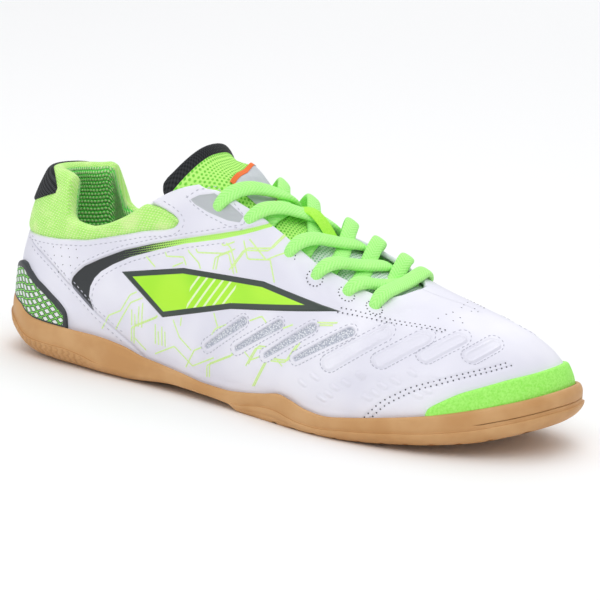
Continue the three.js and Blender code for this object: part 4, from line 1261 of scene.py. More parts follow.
    def half(self, side: int) -> Piece:
        """Build one half, with its edge rolled over at the top and a lining behind it."""
        last = self.shoe.last
        turn, rise = self.grid(side)
        base = last.point(turn, rise)
        height, layers = self.relief(base, side)
        skin = base + last.normal(turn, rise) * height[..., None]
        top = rise[-1]
        closing = last.plan(turn[-1])[0] / last.length > self.shoe.throat_end
        rolls = []
        for angle in np.radians([30, 60, 90, 120, 150, 180]):
            push = self.shoe.wall / 2 * np.sin(angle) * 0.9
            depth = height[-1] * (1 + np.cos(angle)) / 2 - self.shoe.wall * (1 - np.cos(angle)) / 2
            edge = last.point(turn[-1], top)
            inner = last.point(turn[-1], top - 0.01)
            way = edge - inner
            way /= np.linalg.norm(way, axis=1, keepdims=True)
            push = np.where(closing, 0.0, push)
            rolls.append(edge + way * push[:, None] + last.normal(turn[-1], top) * depth[:, None])
        back = [last.shell(turn[-1], top - (top - rise[0]) * s, -self.shoe.wall) for s in (0.03, 0.08, 0.2)]
        points = np.concatenate([skin, np.stack(rolls), np.stack(back)])
        extra = len(rolls) + len(back)
        full = {key: np.concatenate([value, np.repeat(value[-1:], extra, 0)])
                for key, value in layers.items()}
        faces = grid_faces(points.shape[0], points.shape[1])
        return build(sided("upper", side), points, faces, HIDE, full, flip=side > 0)

    def place(self, x: Array, z: Array, side: int, lift: Array | float) -> tuple[Array, Array]:
        """Points over the dressed surface at side-view places, and the normals there."""
        last = self.shoe.last
        turn, rise = last.at(x, z, side)
        base, normal = last.point(turn, rise), last.normal(turn, rise)
        height, _ = self.relief(base, side)
        return base + normal * (height + lift)[..., None], normal


# What lies on the upper

# Rings of a small dome: share of its radius, share of its height
DOME_ROWS = ((1.0, -0.3), (0.95, 0.35), (0.6, 0.85), (0.08, 1.0))


def ribbons(upper: Upper, paths: list[Array], width: float, side: int, name: str,
            finish: Finish, lift: float = 0.07) -> Piece:
    """Flat ribbons that follow side-view paths: each path's points moved half a width both ways.

    Args:
        upper: The dressed upper.
        paths: Side-view polylines.
        width: Ribbon width.
        side: Which half.
        name: Piece name.
        finish: What it is made of.
        lift: How far over the hide.

    Returns:
        The piece.
    """
    spots, faces, start = [], [], 0
    for path in paths:
        line = resample(np.asarray(path, float), 1.0)
        tangent = np.gradient(line, axis=0)
        tangent /= np.linalg.norm(tangent, axis=1, keepdims=True)
        across = np.stack([-tangent[:, 1], tangent[:, 0]], -1)
        rows = np.stack([line + across * width * s for s in (-0.5, 0.0, 0.5)], 0)
        spots.append(rows.reshape(-1, 2))
        faces.append(grid_faces(3, len(line)) + start)
        start += 3 * len(line)
    flat = np.concatenate(spots)
    place, _ = upper.place(flat[:, 0], flat[:, 1], side, lift)
    return build(name, place, np.concatenate(faces), finish, flip=side > 0)


def studs(places: Array, normals: Array, tangents: Array, size: tuple[float, float, float], name: str,
          finish: Finish) -> Piece:
    """Small domes, such as stitches and pinholes: one half ellipsoid of a few rings on each place.

    Args:
        places: Middle of each.
        normals: Outward direction of each.
        tangents: Long direction of each.
        size: Half length, half width and height.
        name: Piece name.
        finish: What it is made of.

    Returns:
        The piece.
    """
    normals = normals / np.linalg.norm(normals, axis=1, keepdims=True)
    side = np.cross(normals, tangents)
    side /= np.linalg.norm(side, axis=1, keepdims=True)
    along = np.cross(side, normals)
    a, rings = circle(8), []
    for r, h in DOME_ROWS:
        rings.append(places[:, None] + along[:, None] * (size[0] * r * np.cos(a))[:, None]
                     + side[:, None] * (size[1] * r * np.sin(a))[:, None]
                     + normals[:, None] * (size[2] * h))
    points = np.stack(rings, 1)
    unit = grid_faces(len(rings), len(a), close_cols=True)
    shift = (np.arange(len(places)) * len(rings) * len(a))[:, None, None]
    faces = (unit[None] + shift).reshape(-1, 4)
    return build(name, points.reshape(-1, 3), faces, finish)


@dataclass
class Trim:
    """Stitches, pinholes, printed lines and the film panel on one side of the upper."""

    upper: Upper
    side: int = -1
    pitch: float = 2.7
    ring_pitch: float = 2.2
    print_width: float = 0.65
    # where the lines of the printed net start, x and z in the side view
    line_starts: tuple = (
        (66, 58), (74, 30), (82, 66), (90, 24), (98, 66), (106, 18), (114, 68), (122, 26), (130, 66),
        (138, 20), (146, 70), (154, 30), (162, 22), (88, 40), (104, 34), (120, 44), (136, 36), (150, 42),
        (166, 34), (94, 70), (106, 66), (116, 73), (126, 68), (136, 74), (144, 70),
    )

    def stitched(self) -> list[Array]:
        """Side-view lines of stitches."""
        top = BAND[2:13] + np.array([-0.4, 1.9])
        quarter = BAND[16:][::-1] + np.array([1.7, -1.5])
        cuff_x = np.linspace(16, 93, 30)
        shoe = self.upper.shoe
        cuff = np.stack([cuff_x, shoe.cuff_low(cuff_x / shoe.last.length) * shoe.last.collar - 2.2], -1)
        nose = [(98, 69.0), (102.4, 71.3), (104.6, 74.4), (104.8, 77), (102.6, 79.6), (99, 81.6), (93, 83.6)]
        cuff = np.vstack([cuff, nose])
        seam = HEEL_SEAM[1:-1]
        patch = np.vstack([PATCH, PATCH[:1]])
        middle = PATCH.mean(0)
        patch = middle + (patch - middle) * np.array([1.13, 1.5])
        quarter = quarter[quarter[:, 0] < 138]
        top = top[top[:, 0] < 136]
        return [top[2:], quarter, cuff, seam + (0, 2.2), seam - (0, 2.4), patch[:10]]

    def stitches(self) -> Piece:
        """Raised stitches along the panel edges."""
        spots, ways, ups = [], [], []
        for path in self.stitched():
            line = resample(path, self.pitch)
            place, normal = self.upper.place(line[:, 0], line[:, 1], self.side, 0.0)
            spots.append(place)
            ways.append(np.gradient(place, axis=0))
            ups.append(normal)
        for low, high in VENTS + EMBOSSED:
            trace = self.upper.trace([low, high], self.side, 1.0)
            place, way, up = self.ring(trace, self.upper.vent_radius + (0.9 if low[0] < 190 else 2.0))
            spots.append(place)
            ways.append(way)
            ups.append(up)
        return studs(np.concatenate(spots), np.concatenate(ups), np.concatenate(ways),
                     (0.8, 0.24, 0.2), sided("stitches", self.side), THREAD)

    def ring(self, trace: Array, radius: float) -> tuple[Array, Array, Array]:
        """Places round a slot, a radius away from its middle line, dropped on the surface.

        They run along one side, round the far end, back along the other side and round the near end.
        """
        start, end = trace[0], trace[-1]
        way = (end - start) / np.linalg.norm(end - start)
        middle = (start + end) / 2
        turn, rise = self.upper.shoe.last.at(middle[0], middle[2], self.side)
        up = self.upper.shoe.last.normal(turn, rise).reshape(3)
        side = np.cross(up, way)
        run, bend = np.linalg.norm(end - start), np.pi * radius
        s = np.arange(0, 2 * (run + bend), self.ring_pitch)[:, None]
        back = s >= run + bend
        d = np.where(back, s - run - bend, s)
        a = np.maximum(d - run, 0) / radius
        offset = way * np.minimum(d, run) + radius * (side * np.cos(a) + way * np.sin(a))
        outline = np.where(back, end - offset, start + offset)
        place, normal = self.upper.place(outline[:, 0], outline[:, 2], self.side, 0.0)
        return place, np.gradient(place, axis=0), normal

    def toe_stitches(self) -> Piece:
        """Pinholes of the toe cap's and vamp's double seams and the clusters of vent holes."""
        spots, ups = [], []
        last = self.upper.shoe.last
        vamp = rounded(np.array([(192, -33.3), (201.8, -30.9), (210.5, -28.5), (219, -25.8), (227.1, -22.5),
                                 (236, -19.2)]), 2.2)
        holes = np.array([(230.5, -13.1), (231.5, -7.9), (232.6, -3.9), (236.2, -9.8), (237.1, -5.2),
                          (240, -8)])
        flat = [vamp, vamp + (0.6, 1.8), holes]
        a = circle(14)
        for index in range(2, 6):
            middle = last.point(*self.upper.shoe.eyelet(index, self.side))
            flat.append(np.stack([middle[0] + 0.6 + 3.9 * np.cos(a),
                                  -abs(middle[1]) - 0.2 + 2.3 * np.sin(a)], -1))
        turn, rise = last.over(*(np.concatenate(flat) * (1, -self.side)).T)
        spots.append(last.point(turn, rise))
        ups.append(last.normal(turn, rise))
        for path in self.upper.toe_seams(self.side):
            line = resample(path, 2.5)
            turn, rise = last.at(line[:, 0], line[:, 2], self.side)
            spots.append(line)
            ups.append(last.normal(turn, rise))
        heel = np.array([(36 + 4.4 * i + 1.4 * j, 53.5 - 3.6 * j + 0.4 * i)
                         for j in range(4) for i in range(4) if i + j < 5])
        place, normal = self.upper.place(heel[:, 0], heel[:, 1], self.side, -0.05)
        spots.append(place)
        ups.append(normal)
        spot, up = np.concatenate(spots), np.concatenate(ups)
        way = np.tile([1.0, 0.1, 0.0], (len(spot), 1))
        return studs(spot, up, way, (0.36, 0.36, 0.08), sided("pinholes", self.side), HOLE)

    def print_lines(self) -> Piece:
        """A loose net of thin lines round the film panel, from a seeded generator.

        Each line turns to and fro between two slants, every third with a second line beside it;
        short ladders of bars fill the lower part. Lines stop at the panel, a vent,
        the band and the sole.
        """
        rng = np.random.default_rng(17)
        pairs = np.radians([(62, 8), (-32, 28), (-58, 8), (90, 28), (-32, -58), (62, 28)])
        starts = [(x + rng.uniform(-4, 4), z + rng.uniform(-3, 3)) for x, z in self.line_starts]
        paths = []
        for i, start in enumerate(starts):
            corners = [np.array(start)]
            for k in range(int(rng.integers(3, 5))):
                slant = pairs[(i * 5) % 6][k % 2]
                way = np.array([math.cos(slant), math.sin(slant)])
                corners.append(corners[-1] + rng.uniform(7, 17) * way)
            line = np.array(corners) - (np.mean(corners, 0) - start) * 0.8
            paths += [line, line + (1.5, 1.2)] if i % 3 == 0 else [line]
        for x, z in ((84, 26), (98, 20)):
            for i in range(4):
                run = rng.uniform(5, 12)
                paths.append(np.array([(x + 1.9 * i, z), (x + 1.9 * i - 0.6, z + run)]))
        outline = self.panel_outline()
        pieces = []
        for path in paths:
            line = resample(path, 1.0)
            free = self.free_place(line, outline)
            runs = np.split(np.arange(len(line)), np.flatnonzero(np.diff(free.astype(int))) + 1)
            pieces += [line[r] for r in runs if free[r[0]] and len(r) > 4]
        return ribbons(self.upper, pieces, self.print_width, self.side, sided("print", self.side), PRINT)

    def free_place(self, line: Array, outline: Array) -> Array:
        """Which points of a side-view line may carry print."""
        last = self.upper.shoe.last
        x, z = line[:, 0], line[:, 1]
        free = region_distance(line, outline) > 0.8
        free &= z > last.rim(last.share(x)) + 2.5
        free &= region_distance(line, self.upper.saddle_line()) > 4.5
        free &= region_distance(line, BAND) > 1.5
        free &= z < np.interp(x, (60, 70, 150, 175, 208), (24, 55, 79, 60, 44)) + 4
        for low, high in VENTS + EMBOSSED:
            free &= path_distance(line, np.array([low, high], float))[0] > 3.0
        return free

    @staticmethod
    def panel_outline() -> Array:
        """Side-view corners of the film panel."""
        return np.array([(75, 49), (101, 33), (138, 44), (193, 53), (152, 58.5), (108, 56.5)], float)

    def panel(self) -> Piece:
        """Film panel: a long six-sided plate between a lower and an upper edge in the side view."""
        lower = self.panel_outline()[:4]
        upper_edge = np.array([(75, 49), (108, 56.5), (152, 58.5), (193, 53)])
        x = np.linspace(75.05, 192.95, 230)
        bottom = np.interp(x, lower[:, 0], lower[:, 1])
        top = np.interp(x, upper_edge[:, 0], upper_edge[:, 1])
        t = np.linspace(0, 1, 46)[:, None]
        z = bottom + (top - bottom) * t
        xs = np.broadcast_to(x, z.shape)
        outline = np.vstack([lower, upper_edge[1:-1][::-1]])
        edge = -region_distance(np.stack([xs, z], -1), outline)
        edge[[0, -1]] = 0
        lift = 0.3 * smooth_step(edge, 0.0, 0.35) + 0.02
        points, _ = self.upper.place(xs, z, self.side, lift)
        zone = smooth_step(xs, 112, 116) * (1 - smooth_step(xs, 136, 140))
        return build(sided("film", self.side), points, grid_faces(*z.shape), FILM,
                     {"edge": edge, "zone": zone}, flip=self.side > 0)


@dataclass
class RimOverlay:
    """A strip that wraps the shoe just over the sole, between the rim and its own top edge."""

    name: str
    first: float
    last_turn: float
    rows: tuple
    height: float
    thickness: float
    finish: Finish
    shoe: Shoe = field(default_factory=lambda: SHOE)
    frame: float = 3.2

    def make(self) -> Piece:
        """Build it: the outer face, an edge rolled over its top and ends tapered to the hide."""
        last = self.shoe.last
        turn = np.linspace(self.first, self.last_turn, 420)
        x = last.plan(turn)[0]
        over = Curve(*columns(self.rows))(x / last.length) * self.height
        rim = last.rim(x / last.length)
        low = last.rise_at(turn, rim - 1.2)
        high = last.rise_at(turn, rim + np.maximum(over, 0.2))
        t = np.linspace(0, 1, 44)[:, None]
        rise = low + (high - low) * t
        grid_turn = np.broadcast_to(turn, rise.shape)
        base = last.point(grid_turn, rise)
        run, up = lengths(base[10]), lengths(base)
        from_top = up[-1] - up
        from_end = np.minimum(run, run[-1] - run)[None] + 0 * up
        edge = np.minimum(from_top, from_end)
        lift = self.thickness * round_over(edge / self.thickness) + 0.03
        above = up - (rim - last.point(turn, low)[:, 2])[None]
        frame = self.frame - np.minimum(edge, above + self.frame * 0.8)
        points = base + last.normal(grid_turn, rise) * lift[..., None]
        uv = np.stack([run[None] + 0 * up, up], -1)
        return build(self.name, points, grid_faces(*rise.shape), self.finish, {"frame": frame}, uv)


# along, share of the strip's height
COUNTER_ROWS = ((0, 0.66), (0.01, 0.72), (0.05, 1.02), (0.077, 1.06), (0.106, 0.95), (0.135, 0.74),
                (0.157, 0.53), (0.167, 0.34), (0.17, 0.0))
GUARD_ROWS = ((0.85, 0.0), (0.854, 0.28), (0.865, 0.5), (0.905, 0.9), (0.955, 1), (1, 0.85))
COUNTER_END = 0.1698
GUARD_START = 0.851


@dataclass
class Cuff:
    """Padded cuff, its dark heel tab, and the lining below it."""

    shoe: Shoe = field(default_factory=lambda: SHOE)
    puff: float = 1.7
    padding: float = 7.0
    steps: int = 460
    tab_turn: float = 0.1
    tab_steps: int = 60

    def frame_at(self, turn: Array) -> tuple[Array, Array, Array]:
        """Sewn edge, rim and padding at each turn."""
        last = self.shoe.last
        share = last.plan(turn)[0] / last.length
        medial = (np.mod(turn, 1.0) > 0.5) * 0.022 * bell(share, 0.115, 0.028)
        return (self.shoe.cuff_low(share) * last.collar, (self.shoe.cuff_top(share) + medial) * last.collar,
                self.shoe.cuff_pad(share) * self.padding)

    def section(self, turn: Array) -> tuple[Array, Array, Array]:
        """Points of the section at each turn, how far round it they are, and the inner layer.

        The section climbs the outside with a soft puff, goes over the rim along a half circle and
        down the inside, and ends where the lining takes over.
        """
        last = self.shoe.last
        low, top, pad = self.frame_at(turn)
        half = (pad + self.puff) / 2
        crown = np.minimum(half, (top - low) * 0.45)
        shoulder = top - crown
        outline = self.shoe.cuff_outline()

        def place(z: Array, offset: Array) -> Array:
            """Points over the last at a height and an offset from it."""
            return last.shell(turn, last.rise_at(turn, z), offset)

        rings, inner = [], []
        for s in np.linspace(0, 1, 24):
            base = last.point(turn, last.rise_at(turn, low + (shoulder - low) * s))
            depth = np.maximum(-region_distance(base[:, [0, 2]], outline), 0.0)
            rings.append(place(base[:, 2], -1.3 + (self.puff + 1.3) * (1 - np.exp(-depth / 1.9))))
            inner.append(0.0)
        for a in np.linspace(0, np.pi, 14)[1:-1]:
            rings.append(place(shoulder + crown * np.sin(a), self.puff - half + half * np.cos(a)))
            inner.append(0.0 if a < 2.0 else 1.0)
        for s in np.linspace(1, 0, 16):
            rings.append(place(low + (shoulder - low) * s, -pad))
            inner.append(1.0)
        for s in (0.3, 0.6, 0.8, 1.0):
            rings.append(place(low - 4.0 * s, -pad + (pad - self.shoe.wall - 0.5) * smooth_step(s, 0, 1)))
            inner.append(1.0)
        return np.stack(rings), np.array(inner), low

    def make(self) -> Piece:
        """Build the cuff."""
        end = self.shoe.last.turn_of(self.shoe.cuff_front)
        turn = np.linspace(end, -end, self.steps)
        points, inner, _ = self.section(turn)
        u, v = lengths(points[8]), lengths(points)
        uv = np.stack([u[None] + 0 * v, v], -1)
        layer = np.repeat(inner[:, None], self.steps, 1)
        return build("collar_cuff", points, grid_faces(*points.shape[:2]), KNIT, {"inner": layer}, uv,
                     flip=True)

    def tab(self) -> Piece:
        """Dark knit tab that climbs the back of the cuff and rolls over its rim.

        It takes rows of the cuff's section, from start to stop, and lies a little over them.
        """
        turn = np.linspace(self.tab_turn, -self.tab_turn, self.tab_steps)
        points, _, _ = self.section(turn)
        across = np.linspace(-1, 1, self.tab_steps)
        fine = np.linspace(0, 1, 40)[:, None]
        start = 10.6 + 6.6 * np.abs(across) ** 2.2
        stop = 26.5 - 7.3 * np.abs(across) ** 4.5
        row = start + (stop - start) * fine
        i = np.clip(row.astype(int), 0, points.shape[0] - 2)
        f = (row - i)[..., None]
        col = np.arange(self.tab_steps)[None]
        base = points[i, col] * (1 - f) + points[i + 1, col] * f
        du = np.gradient(base, axis=1)
        dv = np.gradient(base, axis=0)
        normal = np.cross(dv, du)
        normal /= np.linalg.norm(normal, axis=-1, keepdims=True)
        edge = np.minimum(np.minimum(fine, 1 - fine) * 12, (1 - np.abs(across))[None] * 12)
        lift = 0.1 + 0.8 * round_over(edge)
        points = base + normal * lift[..., None]
        u = np.cumsum(np.linalg.norm(du, axis=-1), 1)
        v = np.cumsum(np.linalg.norm(dv, axis=-1), 0)
        return build("heel_tab", points, grid_faces(*row.shape), DARK_KNIT, {}, np.stack([u, v], -1),
                     flip=True)

    def lining(self) -> Piece:
        """Lining on the inside of the shell, from the cuff or the shell's edge to the footbed."""
        last = self.shoe.last
        rows, cols = 40, 300
        turn = np.linspace(0, 1, cols, endpoint=False)
        side = np.where(turn < 0.5, -1, 1)
        station = last.plan(turn)[0] / last.length
        edge = np.where(side < 0, self.shoe.edge_rise(turn, -1), self.shoe.edge_rise(turn, 1))
        low = 0.02
        high = np.where(station > 0.36, edge - 0.02, edge - 0.01)
        t = np.linspace(0, 1, rows)[:, None]
        rise = low + (np.minimum(high, 1.0) - low) * t
        points = last.shell(np.broadcast_to(turn, rise.shape), rise, -self.shoe.wall - 0.4)
        u = np.broadcast_to(np.linspace(0, 640, cols), rise.shape)
        v = np.cumsum(np.linalg.norm(np.gradient(points, axis=0), axis=-1), 0)
        faces = grid_faces(rows, cols, close_cols=True)
        return build("lining", points, faces, KNIT, {"inner": np.ones(rise.shape)}, np.stack([u, v], -1),
                     flip=True)


@dataclass
class Tongue:
    """Padded tongue with its label and keeper."""

    shoe: Shoe = field(default_factory=lambda: SHOE)
    length: float = 114.0
    width: float = 58.0
    padding: float = 6.0
    front: float = 0.752
    sink: float = 3.0
    dip: float = 7.0
    sweep: float = 9.0
    droop: float = 12.5
    # along, width, padding, fall, dip, free
    rows: tuple = (
        (0, 0.62, 0.5, 0, 0, 0), (0.2, 0.8, 0.7, 0, 0.5, 0), (0.5, 0.94, 0.85, 0, 0.8, 0),
        (0.65, 0.92, 0.95, 0, 0.8, 0), (0.75, 0.9, 1, 0.006, 0.7, 0), (0.8, 0.89, 1, 0.02, 0.5, 0.1),
        (0.84, 0.87, 1, 0.04, 0.35, 0.35), (0.89, 0.83, 1, 0.085, 0.15, 0.72),
        (0.94, 0.79, 1, 0.12, 0.05, 0.9), (0.965, 0.77, 0.9, 0.125, 0, 0.95), (1, 0.75, 0.7, 0.14, 0, 0.97),
    )

    def __post_init__(self) -> None:
        """Build the curves from the table."""
        a, width, pad, fall, dip, free = columns(self.rows)
        self.width_at, self.pad_at, self.fall_at = Curve(a, width), Curve(a, pad), Curve(a, fall)
        self.dip_at, self.free_at = Curve(a, dip), Curve(a, free)

    def face(self, run: Array, across: Array, sink: Array | float = 0.0) -> Array:
        """Point of the outer face: run goes to the free end, across from -1 to 1.

        The section follows the last, sagging by dip (1 - across^2), with a swell on the inner half;
        towards the free end it turns into an arch that leans back by sweep |across|^2.6 and hangs
        by droop |across|^2.6.
        """
        last = self.shoe.last
        run, across = np.broadcast_arrays(np.asarray(run, float), np.asarray(across, float))
        station = self.front - run * self.length / last.length
        middle = np.where(station > 0.5, (station - 0.5) * -0.1 * last.ball, 0.0)
        turn = last.turn_at(station, -1)

        def on_last(y: Array) -> Array:
            """Points sunk under the last at places across."""
            return last.shell(turn, last.rise_across(turn, y, -1), -self.sink)

        waist = 1 - 0.28 * bell(run, 0.8, 0.09) * (across > 0)
        y = middle + across * waist * self.width_at(run) * self.width / 2
        crest = on_last(middle)
        outer = across < 0
        bow = np.abs(across) ** 2.6
        arch = np.stack([crest[..., 0] - np.where(outer, self.sweep * 1.35, self.sweep * 0.2) * bow, y,
                         crest[..., 2] - np.where(outer, self.droop * 1.4, self.droop * 0.8) * bow], -1)
        free = self.free_at(run)
        p = on_last(y) * (1 - free[..., None]) + arch * free[..., None]
        fall = self.fall_at(run) * last.instep * (1 - (1 - free) * 0.8 * across**2)
        swell = (4.5 * bell(run, 0.81, 0.09) * smooth_step(across, 0.05, 0.4)
                 * (1 - smooth_step(across, 0.55, 0.8)))
        p[..., 2] += swell - fall - self.dip_at(run) * self.dip * (1 - across**2) - sink
        return p

    def make(self) -> Piece:
        """Build the pad: outer and inner faces that meet in a rounded edge all round."""
        runs, sides = 150, 40
        run = np.linspace(0, 1, runs)[:, None]
        a = circle(2 * sides)[None]
        across = blunt(np.cos(a), 0.62)
        depth = (1 - blunt(np.sin(a), 0.75)) / 2
        close = round_over((1 - run) / 0.03, 0.0004)
        pad = self.pad_at(run) * self.padding
        sink = pad * (0.5 + (depth - 0.5) * close)
        points = self.face(run + 0 * a, across * (0.9 + 0.1 * close), sink)
        # a roll at the free end with a seam below it, on the outer face alone
        points[..., 2] += (1.6 * bell(run, 0.98, 0.018) - 0.8 * bell(run, 0.954, 0.007)) * (depth < 0.5)
        dark = smooth_step(run + 0 * a, 0.954, 0.958)
        pale = 1 - smooth_step(run + 0 * a, 0.42, 0.56)
        u = across * self.width / 2 + 0 * run
        v = run * self.length + 0 * a
        faces = grid_faces(runs, 2 * sides, close_cols=True)
        return build("tongue", points, faces, TONGUE_MESH, {"dark": dark, "pale": pale},
                     np.stack([u, v], -1))

    def plate(self, name: str, start: float, end: float, half: float, lift: float, thickness: float,
              finish: Finish, arch: float = 0.0) -> Piece:
        """Thin plate along the tongue with rounded edges, lifted in the middle by arch."""
        run = np.linspace(start, end, 40)[:, None]
        a = circle(32)[None]
        across = blunt(np.cos(a), 0.4) * half
        rise = (1 + np.sin(a)) / 2 * thickness
        share = across / (self.width_at(run) * self.width / 2)
        up = lift + rise + arch * np.sin(np.pi * np.linspace(0, 1, 40))[:, None]
        points = self.face(run + 0 * a, share, -up)
        return build(name, points, grid_faces(40, 32, close_cols=True), finish)


@dataclass
class Laces:
    """Criss-cross lace: each strand enters its eyelet from above and comes from under the other side."""

    shoe: Shoe = field(default_factory=lambda: SHOE)
    width: float = 7.2
    thickness: float = 3.0
    # along the strand, lift over the last: from the outer side, from the inner, and the top strand
    lifts: tuple = (
        ((0, -1.6), (0.04, 1.0), (0.1, 2.2), (0.2, 0.4), (0.35, -2.7), (0.5, -3.8), (0.72, -4.0),
         (0.88, -4.6), (1, -6.0)),
        ((0, -1.6), (0.04, 1.2), (0.1, 2.9), (0.2, 2.2), (0.34, -2.4), (0.5, -6.7), (0.7, -6.2),
         (0.88, -4.0), (1, -5.0)),
    )
    top_lifts: tuple = ((0, -1.6), (0.04, 1.0), (0.12, 2.2), (0.3, 0.2), (0.5, -0.8), (0.7, 0.4),
                        (0.88, 2.4), (0.96, 1.0), (1, -2.0))
    # bow of each strand towards the toe, top pair first, and how far its end is moved that way
    bows: tuple = ((10, 9, 7, 5.5, 3), (14, 12, 8, 4, 2))
    end_shifts: tuple = (6, 4, 2, 0, 0)

    def strand(self, start: tuple[int, int], end_x: float, end_y: float, offsets: list[tuple[float, float]],
               bow: float = 0.0) -> tuple[Array, Array, Array]:
        """One strand from an eyelet to a place in plan, at offsets from the last along the way."""
        last = self.shoe.last
        turn, rise = self.shoe.eyelet(*start)
        first = last.point(turn, rise)
        share = np.linspace(0, 1, 70)
        x = first[0] + (end_x - first[0]) * share + bow * np.sin(np.pi * share)
        y = first[1] + (end_y - first[1]) * share
        t, r = last.over(x, y)
        lift = Curve(*columns(offsets), fit=Fit.STEADY)(share)
        normal = last.normal(t, r)
        path = last.point(t, r) + normal * lift[:, None]
        taper = 0.74 + 0.26 * smooth_step(share, 0.0, 0.12)
        half = self.width / 2 * taper
        thick = self.thickness / 2 * (1.25 - 0.25 * smooth_step(share, 0.0, 0.2))
        return sweep(path, normal, half, thick)

    def make(self) -> Piece:
        """Build all strands as one piece."""
        parts = []
        shoe, last = self.shoe, self.shoe.last
        count = len(shoe.eyelet_rows)
        for i in range(count - 1):
            for side in (-1, 1):
                x = shoe.eyelet_rows[i + 1][0] * last.length + 2.0
                y = -side * (shoe.throat[-side](x / last.length) * last.ball + 2.5)
                half = 0 if side < 0 else 1
                parts.append(self.strand((i, side), x + self.end_shifts[i], y, self.lifts[half],
                                         self.bows[half][i]))
        end = last.point(*shoe.eyelet(count - 1, 1))
        parts.append(self.strand((count - 1, -1), float(end[0]), float(end[1]), self.top_lifts, 2.0))
        points, faces, uvs, start = [], [], [], 0
        for p, f, uv in parts:
            points.append(p.reshape(-1, 3))
            uvs.append(uv.reshape(-1, 2))
            faces.append(f + start)
            start += len(points[-1])
        return build("laces", np.concatenate(points), np.concatenate(faces), BRAID, {}, np.concatenate(uvs))


